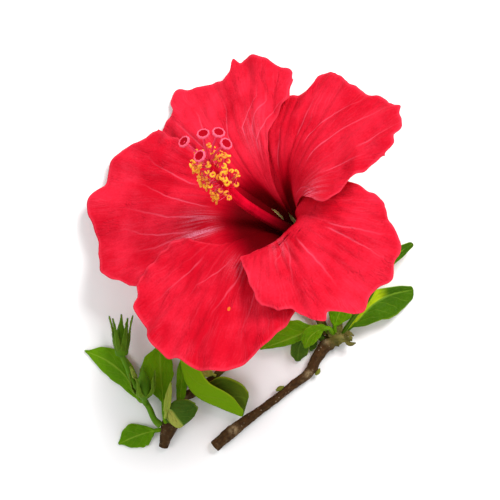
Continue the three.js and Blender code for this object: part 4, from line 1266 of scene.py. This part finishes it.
def bladeSheet(leaf, alongCount, acrossCount):
    line = np.array(leaf["rib"], float)
    start = leaf["bladeFrom"]
    if "root" in leaf:  # the stalk goes on into its stem
        own = np.linalg.norm(np.diff(line, axis=0), axis=1).sum()
        extra = np.linalg.norm(line[0] - leaf["root"])
        line = np.vstack([[leaf["root"]], line])
        start = (extra + start * own) / (extra + own)
    rib = smoothPath(line, alongCount)
    ahead = unit(np.gradient(rib, axis=0))
    level = unit(np.cross(ahead, leaf["up"]))
    over = np.cross(level, ahead)
    share = np.linspace(0, 1, alongCount)
    blade = np.clip((share - start) / (1 - start), 0, 1)
    opened = ease(blade, 0, 0.07)
    tip = np.sqrt(np.clip(1 - (np.clip(blade - 0.955, 0, 1) / 0.0452) ** 2, 0.004, 1))
    seed = leaf["seed"]
    half = (acrossCount - 1) // 2
    sheet = np.zeros((alongCount, acrossCount, 3))
    sheet[:, half] = rib
    widthLists = leaf["left"], leaf.get("right", leaf["left"])
    for side, widths, fold in zip((-1, 1), widthLists, leaf["folds"]):
        width = mix(leaf["stalk"], np.maximum(readEven(widths, blade), 0.3), opened) * tip
        width = width * (1 + leaf["frill"] * opened * rumple(share * 5, side, seed + 3))
        lean = np.radians(fold) * ease(blade, 0, 0.15)
        outward, rise = np.zeros(alongCount), np.zeros(alongCount)
        for k in range(1, half + 1):
            spot = (k - 0.5) / half
            angle = lean * (0.25 + 0.75 * ease(spot * width, 0, 0.8))
            angle = angle + np.radians(leaf["bowl"]) * spot * opened
            outward = outward + np.cos(angle) * width / half
            rise = rise + np.sin(angle) * width / half
            wave = leaf["wave"] * opened * (k / half) ** 1.5 * tip
            wave = wave * rumple(share * 3.4, side * 2.0 + 0.1 * k / half, seed)
            quilt = 0.075 * opened * rumple(share * 9, side * k * 3 / half, seed + 1)
            point = rib + level * (side * outward)[:, None] + over * (rise + wave + quilt)[:, None]
            sheet[:, half + side * k] = point
    across = np.linspace(-1, 1, acrossCount)[None, :]
    stalkWall = 2 * leaf["stalk"] * np.sqrt(np.clip(1 - across ** 2, 0.01, 1))
    ribWall = leaf["ribHeight"] * np.exp(-(across / 0.09) ** 2) * (1 - 0.7 * blade[:, None])
    bladeWall = leaf["wall"] * (1 - 0.75 * across ** 8) + ribWall
    wall = mix(stalkWall, bladeWall, ease(blade, 0, 0.12)[:, None]) * np.minimum(1, tip[:, None] + 0.15)
    return sheet, wall, share, across, blade


def makeBlade(leaf, skin, alongCount=92, acrossCount=35):
    leaf = {**plainBlade, **leaf}
    sheet, wall, share, across, blade = bladeSheet(leaf, alongCount, acrossCount)
    points, faces = shell(aboveTable(sheet + leaf["shift"]), wall)
    full = np.zeros((alongCount, acrossCount))
    left, right = leaf["pale"]
    fade = 1 - ease(blade, leaf["paleTo"] - 0.2, leaf["paleTo"])
    pale = np.where(across < 0, left, right) * fade[:, None]
    marks = {"under": np.repeat([0.0, 1.0], full.size), "pale": twice(pale)}
    uv = np.stack([twice(full + (across + 1) / 2), twice(full + share[:, None])], 1)
    nodes = [] if leaf["extra"] else [nodeName(leaf["name"])]
    makePiece(leaf["name"], points, faces, skin, nodes, uv, marks)


calyxBract = {"left": [0.8, 1.1, 1, 0.3], "folds": (-15, -15), "bladeFrom": 0.05, "stalk": 0.4, "bowl": 0.0,
              "wave": 0.12, "shift": np.zeros(3)}


def makeCalyxBracts():
    skin = leafSkin("calyxBractSkin", leafTones["bract"], 0.45)
    for i in range(calyx["bracts"]):
        turn = math.radians(i * 360 / calyx["bracts"])
        out = np.array([math.cos(turn), math.sin(turn), 0.0])
        rib = [inFlower(out * a + np.array([0, 0, b])) for a, b in calyx["bractReach"]]
        leaf = {**calyxBract, "name": "calyxBract%d" % (i + 1), "rib": rib, "up": out @ flowerAxes(),
                "seed": 60 + i}
        makeBlade(leaf, skin, 40, 15)


# line: the bud's axis, in mm. radii: at even steps along it. reach: the bracts' points, out and along.
buds = [
    {"name": "budUpper",
     "line": [[-46.05, -38.2, 8.65], [-46.1, -37.2, 8.8], [-46.3, -31, 9.6], [-46.3, -24.5, 10.5]],
     "radii": [1.1, 2.0, 2.4, 2.5, 2.1, 1.2, 0.3], "firstTurn": 20,
     "reach": [[1.7, 0.4], [2.9, 4], [3.3, 8.4], [4.5, 13.6]]},
    {"name": "budLower",
     "line": [[-37.7, -55.5, 6.9], [-37.9, -53, 9.7], [-38, -48, 12], [-38.2, -42, 13.4]],
     "radii": [0.9, 0.9, 1, 2.4, 3, 2.6, 1.4, 0.3], "firstTurn": 33,
     "reach": [[0.9, 0.1], [3.9, 2.6], [4.7, 6.4], [4.9, 9.6]]},
]

budBract = {"left": [1.6, 1.6, 1.1, 0.6, 0.3], "folds": (-18, -18), "bladeFrom": 0.03, "stalk": 0.5,
            "bowl": 0.0, "wave": 0.12, "count": 5}


def makeBudBracts(bud, skin):
    # reach holds how far each point of a bract lies out from the bud's axis and up along it
    foot = np.array(bud["line"][-3], float)
    axis = unit(np.array(bud["line"][-1], float) - foot)
    start = unit(np.array([1.0, 0, 0]) - axis * axis[0])
    for i in range(budBract["count"]):
        turn = math.radians(bud["firstTurn"] + 360 / budBract["count"] * i)
        out = start * math.cos(turn) + np.cross(axis, start) * math.sin(turn)
        rib = [foot + out * a + axis * b for a, b in bud["reach"]]
        leaf = {**budBract, "name": "%sBract%d" % (bud["name"], i + 1), "rib": rib, "up": out, "seed": 30 + i}
        makeBlade(leaf, skin, 44, 15)


def makeBuds():
    skin = fleshSkin("budSkin", greens["bud"], greens["budDark"], 0.5, 160.0, 0.2, Specular_IOR_Level=0.08)
    bractSkin = leafSkin("budBractSkin", leafTones["bract"], 0.42)
    count, sides = 90, 40
    turn = np.arange(sides) * 2 * pi / sides
    for bud in buds:
        path, share = smoothPath(bud["line"], count, True)
        twist = turn[None, :] + 1.1 * share[:, None]  # the folded petals inside wind round the bud
        seams = -0.09 * np.abs(np.cos(2.5 * twist)) ** 6
        wobble = (seams + 0.05 * np.cos(5 * twist)) * ease(share, 0.25, 0.45)[:, None]
        points, faces, uv = tube(path + wholeShift, readEven(bud["radii"], share), sides, wobble)
        makePiece(bud["name"], points, faces, skin, [nodeName(bud["name"])], uv)
        makeBudBracts(bud, bractSkin)


leafTones = {
    "fresh": {"top": paint(112, 164, 6), "topDark": paint(80, 132, 2), "back": paint(140, 176, 40),
              "rib": paint(160, 196, 60), "edge": paint(150, 186, 40), "pale": paint(178, 206, 14)},
    "broad": {"top": paint(108, 160, 2), "topDark": paint(78, 132, 1), "back": paint(132, 168, 34),
              "rib": paint(140, 180, 44), "edge": paint(132, 172, 28), "pale": paint(176, 204, 16)},
    "deep": {"top": paint(72, 114, 4), "topDark": paint(52, 92, 2), "back": paint(132, 168, 34),
             "rib": paint(134, 172, 50), "edge": paint(156, 190, 52), "pale": paint(184, 204, 18)},
    "folded": {"top": paint(92, 118, 22), "topDark": paint(62, 90, 14), "back": paint(118, 164, 8),
               "rib": paint(140, 170, 44), "edge": paint(176, 202, 40), "pale": paint(130, 170, 12)},
    "dark": {"top": paint(80, 116, 30), "topDark": paint(54, 88, 20), "back": paint(190, 198, 84),
             "rib": paint(122, 156, 56), "edge": paint(150, 176, 56), "pale": paint(186, 194, 88)},
    "bract": {"top": paint(108, 146, 28), "topDark": paint(72, 110, 16), "back": paint(116, 150, 40),
              "rib": paint(150, 180, 64), "edge": paint(140, 172, 50), "pale": paint(150, 180, 64),
              "sideVeins": 3.0},
    "scale": {"top": paint(122, 120, 58), "topDark": paint(92, 84, 40), "back": paint(124, 110, 60),
              "rib": paint(150, 146, 84), "edge": paint(110, 84, 44), "pale": paint(150, 146, 84),
              "sideVeins": 2.0},
    # a very light green for the small sprout: partly its own pale green, partly painted light against the
    # petal's shadow over it
    "paintedLight": {"top": paint(226, 240, 120), "topDark": paint(204, 226, 96), "back": paint(226, 240, 130),
               "rib": paint(236, 246, 150), "edge": paint(190, 214, 90), "pale": paint(226, 240, 130)},
    "pale": {"top": paint(176, 196, 78), "topDark": paint(146, 172, 56), "back": paint(176, 192, 92),
             "rib": paint(196, 210, 110), "edge": paint(186, 202, 90), "pale": paint(196, 210, 104)},
}

# root: where the leaf's stalk goes into its stem. folds: how many degrees each half is turned up.
leaves = [
    {"name": "leafFarLeft", "root": (-38.6, -54.9, 4.6), "tone": "fresh",
     "seed": 2, "folds": (-8, 4),
     "rib": [[-39.9, -54.6, 3.2], [-45.5, -45.6, 2.6], [-52.2, -40.2, 2.2], [-60.4, -36.7, 0.7]],
     "left": [1.2, 3.2, 4.8, 4.7, 3.2, 0.4], "right": [1, 3, 4.4, 5.4, 3.6, 0.4], "bladeFrom": 0.03},
    {"name": "leafLeftBroad", "root": (-29.6, -63.4, 4.2), "tone": "broad",
     "seed": 4, "folds": (8, 8),
     "rib": [[-30.7, -61.4, 6.1], [-31.4, -53, 5.6], [-32.3, -44, 4.6], [-32.8, -34, 2.8]],
     "left": [0.9, 5, 7.4, 6, 1], "right": [0.9, 3, 4.4, 4, 1], "bladeFrom": 0.22},
    {"name": "leafLeftInner", "root": (-28.4, -62.8, 4.6), "tone": "broad",
     "seed": 6, "folds": (5, 5),
     "rib": [[-27.4, -61, 6.8], [-25.6, -56, 6.5], [-24.8, -49.5, 5.2], [-24.4, -38, 2.4]],
     "left": [0.8, 1.6, 2, 1.8, 0.5]},
    {"name": "leafFoldedLong", "root": (-29.4, -63.8, 3.2), "tone": "folded",
     "seed": 8, "folds": (4, 148),
     "rib": [[-30.7, -61.7, 1.9], [-31.4, -48, 1.3], [-29.6, -37, 1.6], [-26.4, -33.6, 4], [-25, -38.5, 6.4],
             [-22.6, -47.8, 7], [-18.8, -52.6, 7], [-10.4, -56.8, 6.2], [-2.6, -60.2, 4.6]],
     "left": [0.5, 0.5, 0.9, 2.4, 5.8, 9.6, 11, 11, 8.5], "right": [1, 7.4, 9, 9, 7.2, 3.4],
     "bladeFrom": 0.47, "bowl": -4.0},
    {"name": "leafSmallRound", "root": (-28.9, -62.6, 5.4), "tone": "dark",
     "seed": 10, "folds": (6, 16), "pale": (0, 1),
     "rib": [[-30, -60.2, 7], [-29.6, -57.6, 7.8], [-28.6, -57.4, 8.4], [-26.3, -60.4, 8.8], [-24, -63.3, 8]],
     "left": [2.5, 6.6, 8.2, 8.4, 8.2, 7.4, 5.4], "right": [0.8, 1.8, 2.6, 3, 2.9, 2.4, 1.4],
     "bladeFrom": 0.3, "bowl": -8.0},
    {"name": "leafLowLeft", "root": (-30.6, -65.2, 3.2), "tone": "fresh",
     "seed": 12, "folds": (-4, 6),
     "rib": [[-33.8, -65.6, 2.4], [-38.9, -66.8, 2.2], [-43.4, -68.6, 1.6], [-48, -70.8, 0.7]],
     "left": [1.4, 4.6, 4.6, 3.2, 0.4], "right": [1.2, 2.8, 4.8, 3.8, 0.6], "bladeFrom": 0.06},
    {"name": "leafRight", "root": (33.6, -30.6, 5.0), "tone": "deep",
     "seed": 14, "folds": (28, 2), "pale": (1, 0.0), "paleTo": 0.66,
     "rib": [[35.6, -28.4, 6.6], [39.2, -25.1, 7.6], [44.2, -19.7, 7.6], [50.5, -16.2, 5.2],
             [59.6, -14.4, 0.6]],
     "left": [1.2, 5.4, 6.2, 4.2, 2.8, 2.2, 1.4], "right": [1.2, 4, 6.4, 7.8, 7.8, 6.2, 3.4],
     "bladeFrom": 0.04, "frill": 0.01, "wave": 0.15},
    {"name": "leafPointed", "root": (28.8, -30.0, 5.6), "tone": "fresh",
     "seed": 16, "folds": (-12, 8),
     "rib": [[25.6, -27.4, 8.4], [20, -29.5, 8.2], [13.6, -32.3, 7.4], [3.6, -36.1, 3]],
     "left": [1, 2.2, 2.2, 1.4, 0.3], "right": [1, 5.6, 6.6, 4.2, 0.4], "bladeFrom": 0.08},
    {"name": "leafHanging", "root": (27.6, -32.4, 4.4), "tone": "dark",
     "seed": 18, "folds": (10, 10),
     "rib": [[23.6, -30.4, 5.6], [19.9, -31.4, 5.2], [17.8, -35.4, 4], [17.4, -40.6, 1.4]],
     "left": [1, 3, 3.6, 3.2, 1], "right": [1, 2.6, 3, 2.6, 1]},
    {"name": "leafCurled", "root": (30.0, -30.5, 6.0), "tone": "fresh",
     "seed": 20, "folds": (20, 20),
     "rib": [[28, -28, 10.6], [24.4, -28.8, 11.6], [21.4, -31.2, 11.4], [19.6, -35.2, 10]],
     "left": [1, 2.4, 2.8, 2.2, 0.5], "right": [1, 2.6, 3.2, 2.6, 0.5]},
    {"name": "leafDarkSmall", "root": (27.0, -33.4, 4.0), "tone": "dark",
     "seed": 22, "folds": (5, 5),
     "rib": [[24.2, -31.2, 3.4], [23.2, -33.2, 2.6], [22.2, -36.8, 1.2]],
     "left": [0.8, 1.4, 1.6, 1.2, 0.4], "right": [0.8, 1.3, 1.4, 1.2, 0.4]},
    {"name": "leafBehindPetal", "root": (31.2, -30.8, 5.0), "tone": "broad",
     "seed": 24, "folds": (14, 14),
     "rib": [[30.4, -27.6, 8.6], [31.8, -23, 10.6], [34, -18.4, 12], [37.5, -13.4, 12]],
     "left": [1.4, 3.8, 4.2, 3, 0.5], "bladeFrom": 0.04},
    {"name": "leafRightTip", "root": (33.2, -30.5, 5.2), "tone": "deep",
     "seed": 26, "folds": (14, 14),
     "rib": [[34.9, -27.6, 8.4], [41, -18, 13.8], [47, -8, 12.4], [53, -1.6, 8.6], [59, 2.4, 4.6]],
     "left": [1, 3, 3.4, 2.6, 2.4, 1.1], "right": [1, 1.4, 1.4, 1.5, 2, 1]},
]

# the small leafy bits, which have no root of their own
shoots = [
    # the sprout's very light tone is partly painted light
    {"name": "smallSprout", "tone": "paintedLight", "seed": 28, "folds": (20, 20),
     "rib": [[-12.4, -45.6, 3.8], [-15.2, -44.4, 4.6], [-18.6, -43.0, 4.8]],
     "left": [0.7, 1.7, 1.7, 0.4], "stalk": 0.5},
    {"name": "stipuleKnot", "tone": "pale", "seed": 29, "folds": (30, 30),
     "rib": [[-30.5, -60.5, 8.2], [-29.8, -56, 9], [-28.4, -47.4, 9.6]],
     "left": [1, 1.3, 1, 0.3], "stalk": 0.6},
    {"name": "stipuleShoot", "tone": "pale", "seed": 31, "folds": (20, 20),
     "rib": [[-40.6, -47.4, 7.4], [-41.9, -44.6, 8.6], [-43, -41.8, 9.6]],
     "left": [0.5, 0.8, 0.6, 0.3], "stalk": 0.4},
    {"name": "twigScale1", "tone": "scale", "extra": True, "seed": 33, "folds": (25, 25),
     "rib": [[33.2, -30.8, 5.8], [35.3, -30, 7.6], [37.4, -30.8, 8.2]],
     "left": [0.8, 1.1, 0.8, 0.2], "stalk": 0.6},
    {"name": "twigScale2", "tone": "scale", "extra": True, "seed": 34, "folds": (25, 25),
     "rib": [[31.4, -30.8, 6.2], [32.2, -28, 8.2], [33, -25.6, 9]],
     "left": [0.9, 1.3, 1, 0.2], "stalk": 0.7},
    {"name": "twigScale3", "tone": "scale", "extra": True, "seed": 35, "folds": (25, 25),
     "rib": [[29.8, -31.8, 6], [28.8, -29.8, 7.8], [28.4, -27.8, 8.2]],
     "left": [0.7, 1, 0.8, 0.2], "stalk": 0.6},
    {"name": "twigScale4", "tone": "scale", "extra": True, "seed": 36, "folds": (25, 25),
     "rib": [[34.2, -32.8, 5], [36.4, -34, 5.8], [38.2, -33.6, 5.6]],
     "left": [0.6, 0.9, 0.7, 0.2], "stalk": 0.5},
]


def makeLeaves():
    skins = {tone: leafSkin(tone + "LeafSkin", look) for tone, look in leafTones.items()}
    for leaf in leaves:
        makeBlade(leaf, skins[leaf["tone"]])
    for leaf in shoots:
        makeBlade(leaf, skins[leaf["tone"]], 40, 17)


plainStem = {"scars": [], "rings": [], "knot": 0.0, "taper": 0.0}

# scars: x, y, size in mm. rings: share of the length. green: start and end as shares, then how strong.
stems = [
    {"name": "mainTwig", "kind": "bark", "seed": 41,
     "line": [[-12.9, -71.4, 2.2], [-5.8, -65.3, 2.7], [2.2, -59.5, 2.5], [8, -55.2, 2.3], [15.5, -49.3, 2.5],
              [21.4, -44.5, 2.9], [24.6, -38.7, 3.5], [27.8, -34.4, 4], [31.5, -31.7, 4.4], [37, -32.2, 4.2]],
     "radii": [2.1, 2.2, 1.6, 1.5, 1.5, 1.8, 2.1, 2.4, 2.7, 1.2],
     "scars": [(-5.8, -65.1, 1.7), (21.1, -45.1, 1.3), (34.2, -30.2, 2.6), (27.5, -33.2, 1.0)],
     "rings": [0.13, 0.56, 0.7, 0.86], "green": (0.88, 1.2, 0.75), "taper": 0.35, "knot": 2.5},
    {"name": "pedicel", "kind": "green", "seed": 43,
     "line": [[21.0, 2.5, 12.1], [24.6, -0.6, 7.6], [27.6, -4.4, 4.6], [30, -10.5, 2.8], [31.2, -17, 2.4],
              [31.6, -23, 3.4], [31.6, -29.2, 4.9]],
     "radii": [1.9, 1.5, 1.4, 1.4, 1.6], "rings": [0.45], "green": (-1, 2, 1)},
    {"name": "sideBranch", "kind": "bark", "seed": 45,
     "line": [[27.9, -30.2, 4.6], [23, -22.5, 3.6], [17, -19.5, 3], [9, -22.5, 2.6], [-1.8, -34.5, 2.2],
              [-10.5, -43.9, 2.4], [-19.2, -51.1, 2.7], [-24.3, -53.8, 3], [-27, -60, 3.4],
              [-29.4, -64.2, 3.6], [-31.5, -71.6, 1.7]],
     "radii": [1.6, 1.4, 1.3, 1.25, 1.2, 1.2, 1.6, 1.7, 2.1, 2.8, 1.7],
     "scars": [(-24.0, -53.5, 1.2)], "rings": [0.3, 0.5, 0.75, 0.9], "green": (0.0, 0.62, 0.75)},
    {"name": "leftShoot", "kind": "green", "seed": 47,
     "line": [[-32.4, -63.5, 4.5], [-34.6, -61.4, 4.8], [-36.4, -57.3, 5.3], [-38.5, -53.9, 5.8],
              [-42.6, -46.4, 6.8], [-44.6, -41.3, 7.6], [-46, -38, 8.4]],
     "radii": [1.3, 1.1, 1.05, 1, 1], "rings": [0.35, 0.72], "green": (-1, 2, 1)},
    {"name": "twigBudLower", "kind": "green", "seed": 49,
     "line": [[9.6, -51.1, 2.7], [11, -50.2, 2.9], [12.3, -49.6, 3.1]], "radii": [0.5, 0.8, 0.7, 0.3],
     "green": (-1, 2, 0.3)},
    {"name": "twigBudUpper", "kind": "green", "seed": 51,
     "line": [[23.9, -45.3, 2.8], [24.8, -44.2, 3], [25.3, -43.1, 3.2]], "radii": [0.5, 0.8, 0.7, 0.3],
     "green": (-1, 2, 0.3)},
]


def makeStem(stem, skin):
    stem = {**plainStem, **stem}
    seed = stem["seed"]
    isBark = stem["kind"] == "bark"
    long = np.linalg.norm(np.diff(np.array(stem["line"]), axis=0), axis=1).sum()
    count, sides = int(max(24, long * 2.4)), 36 if isBark else 24
    path, atPoint = smoothPath(stem["line"], count, True)
    share = np.linspace(0, 1, count)
    turn = np.arange(sides) * 2 * pi / sides
    x = np.cos(turn)[None, :] * 0.5 + share[:, None] * long / 7
    y = np.sin(turn)[None, :] * 0.5 + share[:, None] * long / 17
    rough = 0.05 if isBark else 0.02
    wobble = rough * rumple(x, y, seed) + rough * 0.6 * rumple(x * 3, y * 3, seed + 1)
    knot = 1 + stem["knot"] * np.exp(-((share - 0.93) * long / 6) ** 2)
    wobble = wobble * knot[:, None]
    for place in stem["rings"]:
        wobble = wobble + 0.1 * np.exp(-((share - place) * long / 0.9) ** 2)[:, None]
    radii = readEven(stem["radii"], atPoint) * (1 - stem["taper"] * ease(share, 0.95, 1))
    points, faces, uv = tube(path + wholeShift, radii, sides, wobble)
    points = aboveTable(points)
    scar = np.zeros(len(points))
    for px, py, size in stem["scars"]:
        off = (points[:, 0] - px) ** 2 + (points[:, 1] - wholeShift[1] - py) ** 2
        scar += np.exp(-off / size ** 2)
    start, end, amount = stem["green"]
    along = uv[:, 1]
    green = amount * ease(along, start - 0.06, start + 0.06) * (1 - ease(along, end - 0.06, end + 0.06))
    cut = np.zeros(len(points))
    cut[[-1, -2]] = 1  # the two end faces
    cut[:sides] = 0.9
    marks = {"scar": np.clip(scar, 0, 1), "green": green, "cut": cut}
    makePiece(stem["name"], points, faces, skin, [nodeName(stem["name"])], uv, marks)
    return points, faces


def stemSkin():
    material, tree, shader = newMaterial("greenStemSkin", 0.5, Specular_IOR_Level=0.1)
    skin = skinPlace(tree)
    lines = noise(tree, skin, 1.0, 4.0, (16.0, 12.0, 1.0))
    patches = useGroup(tree, mottle, {"Vector": objectPlace(tree), "Scale": 150.0}).outputs[0]
    colour = mixColour(tree, lines, greens["stemDark"], greens["stem"])
    colour = mixColour(tree, times(tree, patches, 0.15), colour, greens["ripe"])
    green = readMark(tree, "green")
    colour = mixColour(tree, green, greens["ripe"], colour)
    tree.links.new(colour, shader.inputs["Base Color"])
    tree.links.new(bump(tree, lines, 0.6, 0.2), shader.inputs["Normal"])
    return material


def buildLenticels():
    # small flattened blisters scattered over bark
    inputs = [("Density", "Float", 60000.0), ("Size", "Float", 0.0005), ("Seed", "Int", 2),
              ("Skin", "Material", None)]
    tree, given, result = newTree("lenticels", inputs)
    take = given.outputs
    spots = scatter(tree, take["Geometry"], take["Density"], take["Seed"])
    ball = addNode(tree, "GeometryNodeMeshUVSphere", {"Segments": 10, "Rings": 6, "Radius": 0.5}).outputs[0]
    flat = addNode(tree, "GeometryNodeTransform", {"Geometry": ball, "Scale": (1.0, 0.6, 0.35)}).outputs[0]
    size = times(tree, chance(tree, 0.6, 1.3, 3), take["Size"])
    blisters = putCopies(tree, spots[0], flat, Rotation=spots["Rotation"], Scale=evenScale(tree, size))
    finishTree(tree, blisters, take["Skin"], result)
    return tree


lenticels = {"density": 85000.0, "size": 0.55, "seed": 2}  # density in spots for each square metre


def makeStems():
    skins = {"bark": barkSkin(), "green": stemSkin()}
    made = [(stem, makeStem(stem, skins[stem["kind"]])) for stem in stems]
    tree = buildLenticels()
    speck = fleshSkin("lenticelSkin", paint(150, 132, 106), paint(96, 78, 58), 0.85, 700.0, 0.3)
    values = {"Density": lenticels["density"], "Size": lenticels["size"] * mm, "Seed": lenticels["seed"],
              "Skin": speck}
    for stem, (points, faces) in made:
        if stem["kind"] == "bark":
            mesh = bpy.data.meshes.new(stem["name"] + "Skin")
            mesh.from_pydata((points * mm).tolist(), [], faces)
            growPiece(stem["name"] + "Lenticels", tree, mesh, values)


for petal in petals:
    makePetal(petal)
print("petals ready")
makeColumn()
makeStamens()
makeStyles()
print("column, stamens and styles ready")
makeCalyx()
makeCalyxBracts()
makeBuds()
print("calyx and buds ready")
makeLeaves()
print("leaves ready")
makeStems()
print("stems ready")
makeStudio()
print("studio ready")
